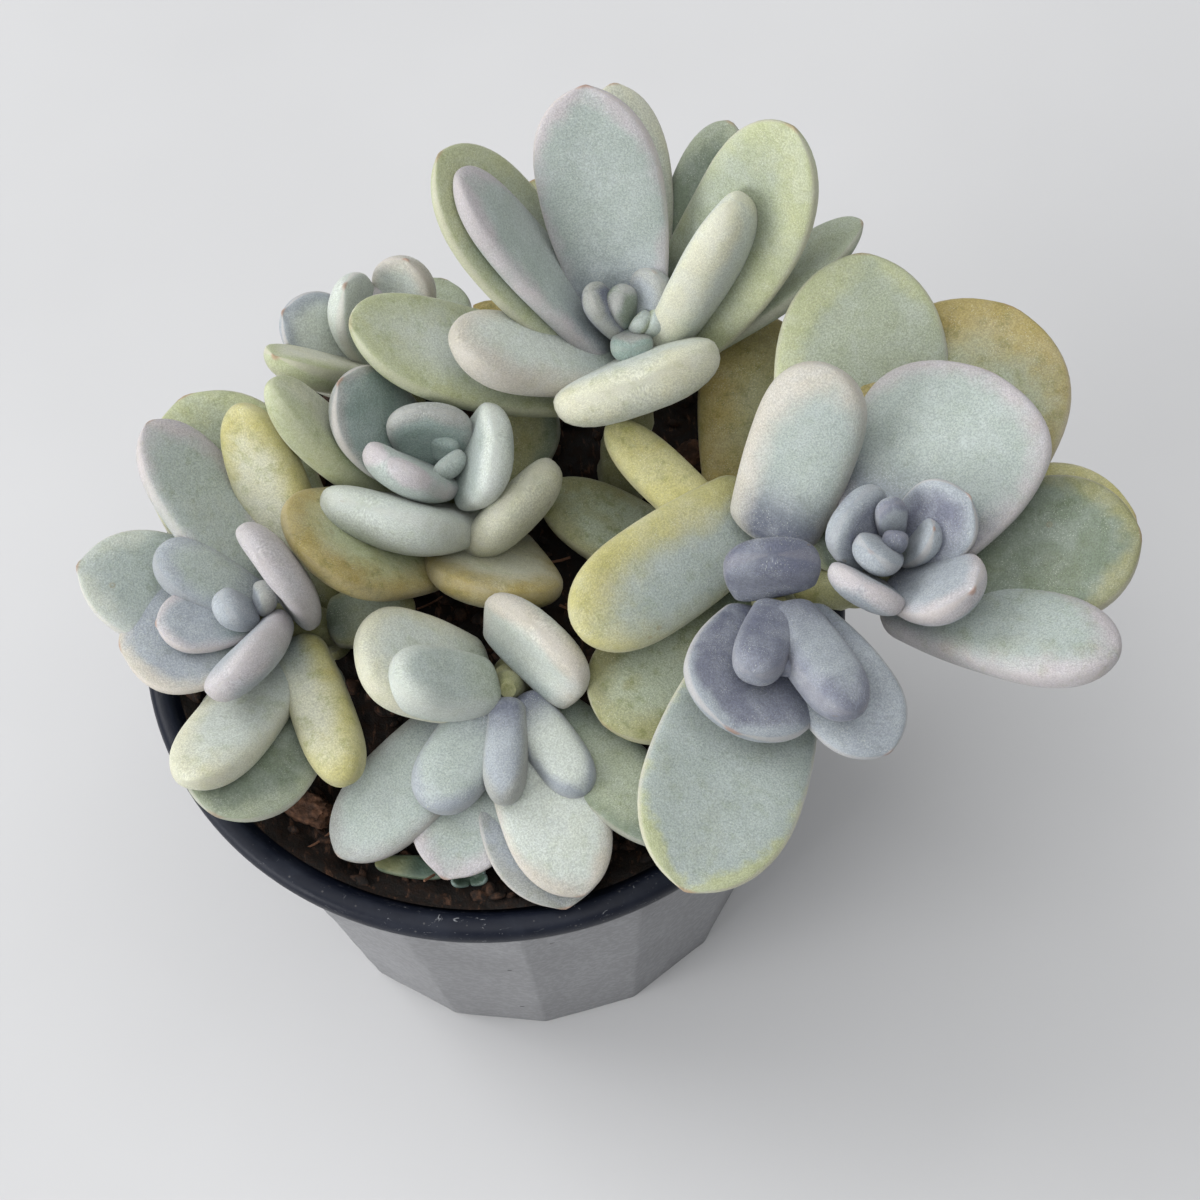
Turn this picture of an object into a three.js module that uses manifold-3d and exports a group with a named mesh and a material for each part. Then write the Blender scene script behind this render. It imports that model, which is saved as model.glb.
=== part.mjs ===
// Potted rosette succulent: six leafy heads in a round nursery pot, which hangs in a faceted cover pot.
// Millimetres, +Z up. The origin is the centre of the cover pot's underside, and the front faces -Y.
import * as THREE from 'three';
import { mergeVertices } from 'three/addons/utils/BufferGeometryUtils.js';
import Module from 'manifold-3d';

const wasm = await Module();
wasm.setup();

// Driving dimensions of the pots and the soil
const GAP = 0.3;
const OVERCUT = 1;
const HOLE_SIDES = 8;
const COVER = {
  facets: 16, firstCorner: -136, height: 83.7, baseRadius: 44.6, topRadius: 55.4, wall: 2.2, floor: 5,
};
const NURSERY = {
  sides: 24, baseRadius: 41, neckRadius: 51.6, wall: 1.2,
  rimRadius: 59.4, rimInner: 55.6, rimHeight: 4, rimRound: 0.8, drainHole: 2.5, drainHoles: 4, drainRing: 22,
};
const SOIL_TOP = 84.4;
const SOIL_RADIUS = 50.4;
const RIM_UNDERSIDE = COVER.height + GAP;
const RIM_TOP = RIM_UNDERSIDE + NURSERY.rimHeight;
const NURSERY_BOTTOM = COVER.floor + GAP;

// Driving dimensions of the plant
// A stem stands on its foot, leaves the soil at its collar, and bends at its neck, below the heart.
const STEM = { foot: 74, sides: 8, collar: 2, neck: 12, top: 1, steps: 7 };
const BRANCH = { radius: 3.2, steps: 5 };
const ROOT_SPREAD = { least: 0.8, perDepth: 0.3 };
// A leaf's form as shares and powers of its size, and what full bluntness adds to them
const LEAF = {
  baseWidth: 0.5, widest: 0.6, tipBend: 2.2, tip: 0.6,
  baseThickness: 0.62, thickest: 0.55, thinBend: 2.4, corner: 0.91, upper: 0.36, cup: 0.09,
};
const BLUNT = {
  baseWidth: 0.3, widest: -0.04, tipBend: 0.8, tip: -0.1,
  baseThickness: 0.2, thickest: 0, thinBend: 0.8, corner: -0.14, upper: 0.09, cup: -0.06,
};
const CUP_LEVEL = 0.35;
const BEND_STEPS = 20;
const LARGE_LEAF = { around: 8, stations: [0, 0.3, 0.62, 0.88] };
const SMALL_LEAF = { around: 6, stations: [0, 0.6] };
const SMALL_LENGTH = 15;

const FALLEN_LEAF = {
  place: [-22.5, -44], aim: -12, rise: 0, length: 13, width: 4, thickness: 2.2, curl: 10, roll: 0, blunt: 0.3,
};
const SPROUT = {
  place: [-7.5, -48.6], sides: [0, 30, 150, 180], rise: 25, length: 3.2, width: 2, thickness: 1.3,
  curl: 30, roll: 0, blunt: 0.5,
};
// Each chip: x, y, length, width, height and turn
const CHIPS = [
  [-38, -24, 7, 4, 3, 20],
  [-33, -33, 8, 4.5, 3.5, -35],
  [-26, -37, 6, 3.5, 2.5, 60],
  [3, -43, 6, 3.5, 2.5, 10],
  [22, -37, 7, 4, 3, 10],
  [-30, 30, 7, 4.5, 3, 75],
  [8, 42, 8, 4, 3, -15],
  [36, 26, 6, 4, 3, 40],
];

const MERGE_DISTANCE = 1e-4;
const degrees = THREE.MathUtils.degToRad;

// The heads. heart is the growing point, lean is how far and towards which side the head tips.
// A leaf row holds its name, how far below the heart it roots, the side that it points to, its rise
// above level, its length, width and thickness, how far it curls up, how far it is twisted, and how
// blunt it is: 0 for a tapered leaf, 1 for one as full at both ends as in the middle.
// Sides are degrees round +Z from +X, so the front is -90.
const HEADS = {
  head_top: {
    stem: { foot: [24, 22], radius: 4 },
    colour: '#b9c3ae',
    crowns: [{
      heart: [28, 31, 121], lean: [5, 90], core: 3.2,
      leaves: [
        ['T1', 2, 100, 60, 42, 21, 6.5, 20, -25, 0.3],
        ['T2', 8, 88, 44, 42, 17, 6, 13, 14, 0.4],
        ['T3', 9, 148, 52, 43, 16, 6.3, 9, 26, 0.9],
        ['T4', 10, 145, 49, 47, 21, 6.1, 16, 7, 0.5],
        ['T5', 8, 16, 65, 36, 15, 8.7, 22, -55, 1],
        ['T6', 10, 21, 60, 52, 21, 6, 32, 19, 0.5],
        ['T7', 13, 53, 48, 43, 15, 6, 22, -16, 0.5],
        ['T8', 12, 12, 33, 43, 13, 5, 12, -20, 0.5],
        ['T9', 8, -170, 33, 31, 16, 7.9, 17, 7, 1],
        ['T10', 8, -91, 51, 20, 28, 9.2, 17, 15, 1],
        ['T11', 2, 165, 65, 12, 7, 4.5, 10, 10, 0.8],
        ['T12', 1, 40, 65, 11, 8, 5, 25, 0, 0.6],
        ['T13', 0, 140, 85, 8, 6, 4.5, 30, 0, 0.8],
        ['T14', 1, -95, 35, 7, 7, 4.5, 40, 0, 0.8],
        ['T15', 0, -45, 70, 5, 4, 3, 30, 0, 0.8],
        ['T16', 1, -10, 55, 7, 6, 4, 30, 0, 0.8],
        ['T17', 14, 178, 28, 48, 21, 6.5, 30, 6, 0.6],
        ['T23', 16, 110, 15, 38, 22, 6, 15, 0, 0.4],
        ['T24', 17, 60, 15, 38, 22, 6, 15, 0, 0.4],
      ],
    }],
  },
  head_right: {
    stem: { foot: [42, -6], radius: 4.5 },
    colour: '#a9b7ac',
    crowns: [{
      heart: [45, -8, 112], lean: [0, 0], core: 3,
      leaves: [
        ['R1', 0, 56, 46, 31, 17.5, 8.5, 12, 5, 1],
        ['R3', 12, 85, 14, 44, 20, 7, 7, -5, 0.8],
        ['R4', 7, 133, 19, 32, 9, 7.9, 8, -10, 0.8],
        ['R5', 22, 145, 10, 40, 15, 6, 8, 8, 0.6],
        ['R6', 12, -140, 5, 34, 22, 7, 8, -5, 0.6],
      ],
    }, {
      heart: [47, 3, 108], lean: [0, 0], core: 3,
      leaves: [
        ['R2', 0, -145, 8, 40, 18, 8, -2, -25, 0.9],
      ],
    }, {
      heart: [64, -16, 124], lean: [15, 0], core: 3,
      leaves: [
        ['S1', 4, 53, 15, 32, 33, 7, 20, -12, 0.6],
        ['S2', 17, 83, 28, 52, 28, 6, 16, 0, 0.5],
        ['S3', 11, 55, 15, 47, 33, 6, 5, 5, 0.5],
        ['S4', 9, -4, 13, 38, 25, 7, 15, 6, 0.5],
        ['S5', 11, 5, 7, 39, 25, 5, 6, 9, 0.5],
        ['S6', 13, -35, 19, 40, 17, 8, 8, -5, 0.8],
        ['S7', 3, 152, 63, 11, 13, 5.2, 44, -15, 1],
        ['S8', 4, 10, 50, 16, 13, 4.5, 7, 24, 0.2],
        ['S9', 0, 103, 78, 8, 5, 3.8, 32, 2, 0.8],
        ['S10', 1, -134, 53, 9, 8, 4.8, 31, -9, 0.6],
        ['S11', 0, -105, 85, 5, 4, 3, 30, 0, 0.8],
        ['S12', 4, -7, 62, 10, 7, 4, 27, -9, 0.4],
        ['S13', 8, -116, 60, 14, 13, 4.9, 32, -12, 0.8],
        ['S14', 7, -48, 42, 19, 14, 6.6, 23, 1, 0.4],
        ['S16', 14, 30, -5, 34, 22, 6, 15, 0, 0.5],
      ],
    }, {
      heart: [45.5, -22, 120], lean: [20, -100], core: 2.5,
      leaves: [
        ['Y1', 2, 102, 78, 10, 15, 7, 59, -13, 1],
        ['Y2', 0, -112, 24, 17, 8.5, 7.5, 12, 0, 1],
        ['Y3', 0, -70, 14, 24, 10, 8.5, 10, -20, 1],
        ['Y4', 1, -90, 20, 14, 8, 5, 10, 0, 0.8],
        ['Y5', 1, -95, 45, 6, 4, 3, 20, 0, 0.8],
        ['Y6', 4, -114, 12, 23, 22, 6.9, 10, -18, 0.4],
        ['Y7', 3, -64, 0, 28, 15.5, 6, 5, 8, 0.5],
        ['Y8', 12, -113, 7, 49, 25, 6, 10, -10, 0.3],
      ],
    }],
  },
  head_centre: {
    stem: { foot: [-8, 18], radius: 3.8 },
    colour: '#b3c2b1',
    crowns: [{
      heart: [-5, 13, 113], lean: [10, -120], core: 3,
      leaves: [
        ['C1', 2, 112, 78, 13, 14, 5.1, 30, -29, 0.8],
        ['C2', 3, -147, 62, 17, 14, 6, 32, 16, 0.9],
        ['C3', 4, -14, 62, 16, 17, 6.5, 33, 10, 0.8],
        ['C4', 0, -55, 70, 6, 6, 3.5, 30, 0, 0.8],
        ['C5', 0, 60, 80, 6, 5, 3.5, 30, 0, 0.8],
        ['C6', 7, 151, 55, 25, 16.5, 6, 28, -1, 0.3],
        ['C7', 21, 170, 57, 45, 13, 8.2, 29, 20, 0.8],
        ['C8', 16, -137, 56, 28, 24, 9, 35, 22, 1],
        ['C9', 23, -142, 46, 42, 24, 7.2, 16, -8, 0.8],
        ['C10', 22, -43, 64, 27, 19.5, 8, 34, -5, 1],
        ['C11', 23, -77, 36, 28, 23, 7, 25, -25, 0.9],
        ['C12', 24, 50, 30, 22, 16, 6, 15, 0, 0.6],
      ],
    }],
  },
  head_left: {
    stem: { foot: [-28, -2], radius: 3.6 },
    colour: '#aebcb3',
    crowns: [{
      heart: [-37, -7, 107], lean: [30, 200], core: 3,
      leaves: [
        ['D1', 20, 108, 52, 41, 13, 7.5, 15, -35, 0.9],
        ['D2', 8, 122, 27, 37, 17, 6.8, 4, 30, 0.5],
        ['D3', 16, 116, 27, 42, 27, 6, 10, 2, 0.4],
        ['D4', 13, 168, 26, 36, 20, 6, 8, -4, 0.2],
        ['D5', 4, -171, 9, 23, 22, 5, 12, 3, 0.4],
        ['D6', 1, 188, 17, 16, 11, 4.9, 22, -1, 0.3],
        ['D7', 4, 152, 30, 20, 10.5, 7.5, 8, 10, 0.9],
        ['D8', 7, 40, 98, 22, 17, 5.9, 35, -9, 1],
        ['D9', 4, -107, 42, 22, 14, 6.8, 17, 51, 0.9],
        ['D10', 0, -160, 64, 8.5, 7, 5, 28, 0, 0.8],
        ['D11', 0, 20, 75, 6, 5, 3.5, 30, 0, 0.8],
        ['D12', 11, -119, 20, 35, 14, 8, 20, 10, 0.8],
        ['D13', 15, -114, 15, 37, 22, 6, 8, -15, 0.5],
        ['D14', 9, -75, 5, 29, 10, 9, 12, 10, 1],
        ['D15', 15, 5, 5, 15, 12, 5.5, 15, 0, 0.6],
        ['D17', 14, 150, 5, 26, 19, 6, 12, 0, 0.5],
      ],
    }],
  },
  head_front: {
    stem: { foot: [4, -14], radius: 3.6 },
    colour: '#b4bfb4',
    crowns: [{
      heart: [2, -24, 103], lean: [35, -90], core: 3,
      leaves: [
        ['E1', 4, -174, 38, 20, 12, 9, 8, 5, 0.9],
        ['E2', 8, 176, 38, 25, 19, 8, 11, 5, 0.8],
        ['E3', 6, 34, 73, 14, 22, 6.2, 59, 7, 1],
        ['E4', 4, -127, -3, 22, 12, 8.6, 3, -5, 1],
        ['E5', 2, -97, -3, 18, 7, 7.9, 9, 4, 1],
        ['E6', 5, -62, -4, 20, 9, 8.7, 9, 3, 1],
        ['E7', 6, -142, -12, 36, 16, 6.3, -3, 1, 0.5],
        ['E8', 6, -114, -13, 30, 18, 5.5, 8, -8, 0.2],
        ['E9', 5, -77, -9, 34, 17, 6, 9, 0, 0.5],
        ['E10', 10, -82, -6, 36, 21, 4.5, 5, -5, 0.3],
        ['E11', 9, -51, 0, 37, 14, 6, 6, -4, 0.5],
      ],
    }],
  },
  head_back: {
    stem: { foot: [-12, 40], radius: 3.2 },
    colour: '#b5bdae',
    crowns: [{
      heart: [-14, 46, 106], lean: [20, 120], core: 2.5,
      leaves: [
        ['F1', 5, 178, 45, 20, 13, 6, 21, -30, 0.2],
        ['F2', 4, 50, 70, 17, 12, 6, 20, 5, 0.2],
        ['F3', 7, 160, 80, 21, 13, 6, 20, 0, 0.4],
        ['F4', 8, -148, 50, 29, 14, 6, 20, 22, 0.4],
        ['F5', 8, -15, 38, 18, 12, 5, 15, 0, 0.4],
        ['F6', 11, 110, 0, 16, 15, 6, 15, 0, 0.4],
        ['F7', 11, 65, 5, 18, 15, 6, 15, 0, 0.4],
        ['F8', 12, 150, 0, 17, 15, 6, 15, 0, 0.4],
        ['F9', 2, 120, 70, 9, 8, 4.5, 30, 0, 0.7],
        ['F10', 1, -60, 75, 7, 6, 4, 30, 0, 0.7],
        ['F11', 1, 20, 75, 8, 6, 4, 30, 0, 0.7],
      ],
    }],
  },
};

// Turns a closed geometry into a solid, with its shared vertices merged and its empty faces dropped.
function solidFrom(geometry) {
  const bare = new THREE.BufferGeometry();
  bare.setAttribute('position', geometry.getAttribute('position'));
  if (geometry.index) bare.setIndex(geometry.index);
  const merged = mergeVertices(bare, MERGE_DISTANCE);
  const index = merged.index.array;
  const triVerts = [];
  for (let i = 0; i < index.length; i += 3) {
    const [a, b, c] = index.slice(i, i + 3);
    if (a !== b && b !== c && c !== a) triVerts.push(a, b, c);
  }
  return new wasm.Manifold(new wasm.Mesh({
    numProp: 3,
    vertProperties: Float32Array.from(merged.getAttribute('position').array),
    triVerts: Uint32Array.from(triVerts),
  }));
}

function geometryFrom(solid) {
  const mesh = solid.getMesh();
  const geometry = new THREE.BufferGeometry();
  geometry.setAttribute('position', new THREE.BufferAttribute(mesh.vertProperties, 3));
  geometry.setIndex(new THREE.BufferAttribute(mesh.triVerts, 1));
  return geometry;
}

function named(name, solid, colour, roughness) {
  const geometry = geometryFrom(solid).toNonIndexed();
  geometry.computeVertexNormals();
  const material = new THREE.MeshStandardMaterial({ color: colour, roughness, metalness: 0 });
  const mesh = new THREE.Mesh(geometry, material);
  mesh.name = name;
  return mesh;
}

// Turns a closed profile of [radius, height] points round +Z.
function turned(profile, sides, firstCorner = 0) {
  const points = profile.map(([radius, height]) => new THREE.Vector2(radius, height));
  const geometry = new THREE.LatheGeometry(points, sides, degrees(firstCorner + 90), 2 * Math.PI);
  geometry.rotateX(Math.PI / 2);
  return solidFrom(geometry);
}

// The cutter for a hole, which stands at x, y.
function upright(radius, bottom, top, x, y) {
  const geometry = new THREE.CylinderGeometry(radius, radius, top - bottom, HOLE_SIDES);
  geometry.rotateX(Math.PI / 2);
  geometry.translate(x, y, (top + bottom) / 2);
  return solidFrom(geometry);
}

// The leaf's shares and powers at its bluntness.
function leafForm(blunt) {
  return Object.fromEntries(Object.entries(LEAF).map(([share, plain]) => [share, plain + BLUNT[share] * blunt]));
}

// Half the leaf's width at a point along it, as a share of the widest half.
function leafWidth(form, along) {
  const low = Math.min(along / form.widest, 1);
  const high = Math.max((along - form.widest) / (1 - form.widest), 0);
  const swell = form.baseWidth + (1 - form.baseWidth) * Math.sin(low * Math.PI / 2);
  return along < form.widest ? swell : (1 - high ** form.tipBend) ** form.tip;
}

function leafThickness(form, along) {
  const low = Math.min(along / form.thickest, 1);
  const high = Math.max((along - form.thickest) / (1 - form.thickest), 0);
  const swell = form.baseThickness + (1 - form.baseThickness) * Math.sin(low * Math.PI / 2);
  return along < form.thickest ? swell : (1 - high ** form.thinBend) ** form.tip;
}

// The direction of the leaf at a point along it.
function leafHeading(leaf, along) {
  const rise = degrees(leaf.rise + leaf.curl * (along - 0.5));
  const aim = degrees(leaf.aim);
  return new THREE.Vector3(Math.cos(rise) * Math.cos(aim), Math.cos(rise) * Math.sin(aim), Math.sin(rise));
}

// The point at a share of the leaf's length, on its curled middle line.
function leafPoint(leaf, root, along) {
  const point = root.clone();
  const step = along / BEND_STEPS;
  for (let i = 0; i < BEND_STEPS; i += 1) {
    point.addScaledVector(leafHeading(leaf, (i + 0.5) * step), step * leaf.length);
  }
  return point;
}

// A circle's height at a turn, drawn out towards the corners of its square.
function squared(height, corner) {
  return Math.sign(height) * Math.abs(height) ** corner;
}

// A fleshy leaf: a sphere whose rings are moved to stations along the leaf and given its section,
// flatter above and fuller below, with raised margins.
function leafSolid(leaf, root) {
  const { around, stations } = leaf.length < SMALL_LENGTH ? SMALL_LEAF : LARGE_LEAF;
  const form = leafForm(leaf.blunt);
  const geometry = new THREE.SphereGeometry(1, around, stations.length + 1);
  const position = geometry.getAttribute('position');
  const ringSize = around + 1;
  for (let i = 0; i < position.count; i += 1) {
    const ring = Math.floor(i / ringSize);
    const along = ring === 0 ? 0 : (stations[ring - 1] ?? 1);
    const open = ring === 0 || ring > stations.length ? 0 : 1;
    const turn = -2 * Math.PI * (i % ringSize) / around;
    const heading = leafHeading(leaf, along);
    const level = new THREE.Vector3(-Math.sin(degrees(leaf.aim)), Math.cos(degrees(leaf.aim)), 0);
    const upward = heading.clone().cross(level);
    const twist = degrees(leaf.roll);
    const side = level.clone().multiplyScalar(Math.cos(twist)).addScaledVector(upward, Math.sin(twist));
    const face = upward.clone().multiplyScalar(Math.cos(twist)).addScaledVector(level, -Math.sin(twist));
    const width = leaf.width * leafWidth(form, along) * open;
    const thickness = leaf.thickness * leafThickness(form, along) * open;
    const span = squared(Math.cos(turn), form.corner);
    const lift = squared(Math.sin(turn), form.corner);
    const fill = lift > 0 ? form.upper : 1 - form.upper;
    const cup = form.cup * width * (span ** 2 - CUP_LEVEL);
    const point = leafPoint(leaf, root, along);
    point.addScaledVector(side, width / 2 * span).addScaledVector(face, fill * lift * thickness + cup);
    position.setXYZ(i, point.x, point.y, point.z);
  }
  return solidFrom(geometry);
}

function leanVector([tip, side]) {
  const level = Math.sin(degrees(tip));
  return new THREE.Vector3(
    level * Math.cos(degrees(side)), level * Math.sin(degrees(side)), Math.cos(degrees(tip)),
  );
}

// Where a leaf leaves its stem: below the heart, and a little out from the head's axis.
function leafRoot(crown, low, aim) {
  const axis = leanVector(crown.lean);
  const out = new THREE.Vector3(Math.cos(degrees(aim)), Math.sin(degrees(aim)), 0);
  out.addScaledVector(axis, -out.dot(axis)).normalize();
  const root = new THREE.Vector3(...crown.heart).addScaledVector(axis, -low);
  const spread = ROOT_SPREAD.least + ROOT_SPREAD.perDepth * low;
  return root.addScaledVector(out, Math.min(crown.core, spread));
}

function tube(points, radius, sides, steps) {
  const section = new THREE.Shape();
  for (let i = 0; i < sides; i += 1) {
    const turn = 2 * Math.PI * i / sides;
    const corner = [radius * Math.cos(turn), radius * Math.sin(turn)];
    if (i === 0) section.moveTo(...corner);
    else section.lineTo(...corner);
  }
  const path = new THREE.CatmullRomCurve3(points, false, 'centripetal');
  return solidFrom(new THREE.ExtrudeGeometry(section, { steps, extrudePath: path, bevelEnabled: false }));
}

// The stem stands upright in its hole and then bends to the head's axis. Further crowns branch off it.
function stemSolids(spec) {
  const [x, y] = spec.stem.foot;
  const first = spec.crowns[0];
  return spec.crowns.map((crown) => {
    const axis = leanVector(crown.lean);
    const heart = new THREE.Vector3(...crown.heart);
    const neck = heart.clone().addScaledVector(axis, -STEM.neck);
    const top = heart.clone().addScaledVector(axis, -STEM.top);
    if (crown !== first) {
      const fork = new THREE.Vector3(first.heart[0], first.heart[1], first.heart[2] - STEM.neck);
      return tube([fork, neck, top], BRANCH.radius, STEM.sides, BRANCH.steps);
    }
    const foot = new THREE.Vector3(x, y, STEM.foot);
    const collar = new THREE.Vector3(x, y, SOIL_TOP + STEM.collar);
    return tube([foot, collar, neck, top], spec.stem.radius, STEM.sides, STEM.steps);
  });
}

function headSolid(spec) {
  const solids = stemSolids(spec);
  for (const crown of spec.crowns) {
    for (const [, low, aim, rise, length, width, thickness, curl, roll, blunt] of crown.leaves) {
      const leaf = { aim, rise, length, width, thickness, curl, roll, blunt };
      solids.push(leafSolid(leaf, leafRoot(crown, low, aim)));
    }
  }
  const joined = solids.reduce((whole, solid) => whole.add(solid));
  return outerShell(joined);
}

// Fills the hollows that leaves seal between them: only the outermost surface is kept.
function outerShell(solid) {
  const shells = solid.decompose();
  return shells.reduce((largest, shell) => (shell.volume() > largest.volume() ? shell : largest));
}

function coverPot() {
  const { facets, firstCorner, height, baseRadius, topRadius, wall, floor } = COVER;
  const innerBase = baseRadius - wall + (topRadius - baseRadius) * floor / height;
  return turned([
    [0, 0], [baseRadius, 0], [topRadius, height], [topRadius - wall, height], [innerBase, floor], [0, floor],
  ], facets, firstCorner);
}

// The nursery pot is one moulding, made as its cup and its rolled rim so that each collides as its own form.
function nurseryPot() {
  const { sides, baseRadius, neckRadius, wall } = NURSERY;
  const floorTop = NURSERY_BOTTOM + wall;
  let pot = turned([
    [0, NURSERY_BOTTOM], [baseRadius, NURSERY_BOTTOM], [neckRadius, COVER.height],
    [neckRadius - wall, COVER.height], [baseRadius - wall, floorTop], [0, floorTop],
  ], sides);
  for (let i = 0; i < NURSERY.drainHoles; i += 1) {
    const turn = 2 * Math.PI * i / NURSERY.drainHoles;
    const x = NURSERY.drainRing * Math.cos(turn);
    const y = NURSERY.drainRing * Math.sin(turn);
    pot = pot.subtract(upright(NURSERY.drainHole, NURSERY_BOTTOM - OVERCUT, floorTop + OVERCUT, x, y));
  }
  return pot;
}

function nurseryRim() {
  const { sides, neckRadius, wall, rimRadius, rimInner, rimRound } = NURSERY;
  const neck = [neckRadius - wall, RIM_UNDERSIDE];
  return turned([
    neck, [rimRadius, RIM_UNDERSIDE], [rimRadius, RIM_TOP - rimRound],
    [rimRadius - rimRound, RIM_TOP], [rimInner, RIM_TOP], neck,
  ], sides);
}

// The inner radius of the nursery pot at a height below its neck.
function nurseryInner(height) {
  const { baseRadius, neckRadius, wall } = NURSERY;
  const share = (height - NURSERY_BOTTOM) / (COVER.height - NURSERY_BOTTOM);
  return baseRadius + (neckRadius - baseRadius) * share - wall;
}

function soilSolid() {
  const bottom = NURSERY_BOTTOM + NURSERY.wall + GAP;
  const neck = COVER.height - GAP;
  let soil = turned([
    [0, bottom], [nurseryInner(bottom) - GAP, bottom], [nurseryInner(neck) - GAP, neck],
    [SOIL_RADIUS, SOIL_TOP], [0, SOIL_TOP],
  ], NURSERY.sides);
  for (const { stem } of Object.values(HEADS)) {
    const [x, y] = stem.foot;
    soil = soil.subtract(upright(stem.radius + 2 * GAP, STEM.foot - GAP, SOIL_TOP + OVERCUT, x, y));
  }
  return soil;
}

// Sets a solid down on the soil.
function resting(solid) {
  return solid.translate([0, 0, SOIL_TOP + GAP - solid.boundingBox().min[2]]);
}

// A leaf that has dropped lies on the soil, beside a sprout of small leaves.
function fallenLeaf() {
  return resting(leafSolid(FALLEN_LEAF, new THREE.Vector3(...FALLEN_LEAF.place, SOIL_TOP)));
}

function sproutSolid() {
  const root = new THREE.Vector3(...SPROUT.place, SOIL_TOP);
  const leaves = SPROUT.sides.map((aim) => leafSolid({ ...SPROUT, aim }, root));
  return resting(outerShell(leaves.reduce((joined, leaf) => joined.add(leaf))));
}

// Bark chips are worn blocks that lie on the soil, each turned its own way.
function barkChip([x, y, length, width, height, turn]) {
  const geometry = new THREE.IcosahedronGeometry(1, 0);
  geometry.deleteAttribute('normal');
  geometry.deleteAttribute('uv');
  geometry.scale(length / 2, width / 2, height / 2);
  geometry.rotateZ(degrees(turn));
  geometry.translate(x, y, SOIL_TOP);
  return resting(solidFrom(geometry));
}

const plant = new THREE.Group();
plant.add(named('cover_pot', coverPot(), '#8e8f92', 0.85));
plant.add(named('nursery_pot', nurseryPot(), '#1d2027', 0.45));
plant.add(named('nursery_rim', nurseryRim(), '#1d2027', 0.45));
plant.add(named('soil', soilSolid(), '#2a1d16', 1));
for (const [name, spec] of Object.entries(HEADS)) {
  plant.add(named(name, headSolid(spec), spec.colour, 0.75));
}
plant.add(named('fallen_leaf', fallenLeaf(), '#3c4a3a', 0.8));
plant.add(named('sprout', sproutSolid(), '#4f7a6c', 0.7));
CHIPS.forEach((chip, i) => {
  plant.add(named(`bark_chip_${i + 1}`, barkChip(chip), '#7a4a30', 0.95));
});

export default plant;
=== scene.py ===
"""Dresses a potted rosette succulent: its leaves, stems, soil and two pots, on a pale floor."""
import math
import random

import bmesh
import bpy
import numpy as np
from bpy.props import FloatProperty, FloatVectorProperty, IntProperty, PointerProperty
from mathutils import Euler, Matrix, Vector, noise


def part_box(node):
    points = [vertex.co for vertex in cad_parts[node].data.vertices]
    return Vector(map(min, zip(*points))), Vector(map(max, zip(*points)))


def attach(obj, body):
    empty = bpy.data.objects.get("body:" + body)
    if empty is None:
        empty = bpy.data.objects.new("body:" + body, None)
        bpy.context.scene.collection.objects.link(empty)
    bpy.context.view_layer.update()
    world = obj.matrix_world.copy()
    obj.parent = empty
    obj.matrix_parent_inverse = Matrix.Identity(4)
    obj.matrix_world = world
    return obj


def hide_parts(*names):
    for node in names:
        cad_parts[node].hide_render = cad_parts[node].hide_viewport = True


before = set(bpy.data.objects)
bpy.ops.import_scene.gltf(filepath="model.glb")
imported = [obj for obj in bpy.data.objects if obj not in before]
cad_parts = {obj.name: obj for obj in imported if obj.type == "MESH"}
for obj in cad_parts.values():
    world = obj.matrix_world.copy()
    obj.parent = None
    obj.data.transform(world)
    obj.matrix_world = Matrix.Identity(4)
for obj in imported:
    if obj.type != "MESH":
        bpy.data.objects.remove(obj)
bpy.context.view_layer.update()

bl_info = {
    "name": "Potted rosette succulent",
    "version": (1, 0, 0),
    "blender": (4, 5, 0),
    "location": "3D View > Sidebar > Succulent",
    "description": "Models a clump of fleshy rosettes in its nursery pot and cover pot",
    "category": "Object",
}

MM = 0.001
COVER_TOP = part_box("cover_pot")[1][2]
RIM_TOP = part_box("nursery_rim")[1][2]
RIM_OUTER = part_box("nursery_rim")[1][0]
SOIL_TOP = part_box("soil")[1][2]
SOIL_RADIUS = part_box("soil")[1][0]
GAP = 0.3 * MM

# The rolled rim's section in millimetres. Outside and at its shoulder, a point is so far in from the
# outer edge, and so far up from the rim's foot or down from its top. Inside, it is so far out from
# the inner edge and down from the top.
RIM_OUTSIDE = ((0.9, 0), (0.5, 0.15), (0.15, 0.7), (0, 1.4), (0, 2.3), (0.12, 2.9))
RIM_SHOULDER = ((0.4, 0.55), (0.85, 0.2), (1.5, 0))
RIM_INSIDE = ((1, 0), (0.4, 0.15), (0, 0.6), (-0.5, 1.3))
RIM_FILLET = 0.2 * MM

# The soil's radii at the bottom of the cup and under the rim, how far in its bank reaches, and the
# height from which crumbs drop onto it
SOIL_FOOT = 39.7 * MM
SOIL_WAIST = 50.0 * MM
BANK_REACH = 7 * MM
DROP_HEIGHT = 0.12

# Stems, in millimetres: where they start in the soil, how far they stand up straight out of it, how
# far below a heart they point along its axis, and the radius of a branch. Then the steps of a stem's
# path, and the share of its radius that it loses on the way up.
STEM_FOOT = 74
STEM_COLLAR = 2
STEM_NECK = 12
BRANCH_RADIUS = 3.2
PATH_STEPS = 14
STEM_TAPER = 0.65

# Leaves: steps along the bent middle line, the share of the cup by which the middle sinks, the size
# of the soft waves and the length under which waves and points shrink, both in millimetres, where
# the tip and its point start, the bluntness at which the point is gone, and what counts as no width
SPINE_STEPS = 80
CUP_LEVEL = 0.35
WAVE_ACROSS = 22
WAVE_ALONG = 11
SMALL_LEAF = 20
TIP_START = 0.6
POINT_START = 0.985
POINT_BLUNT = 0.75
TINY = 1e-6

# How far one leaf or stem lies from the next in the noise that shapes and colours it
WAVE_STEP = 7.3
WAVE_LAYER = 3.1
LEAF_GRAIN_STEP = 41.7
STEM_GRAIN_STEP = 17.3

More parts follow.
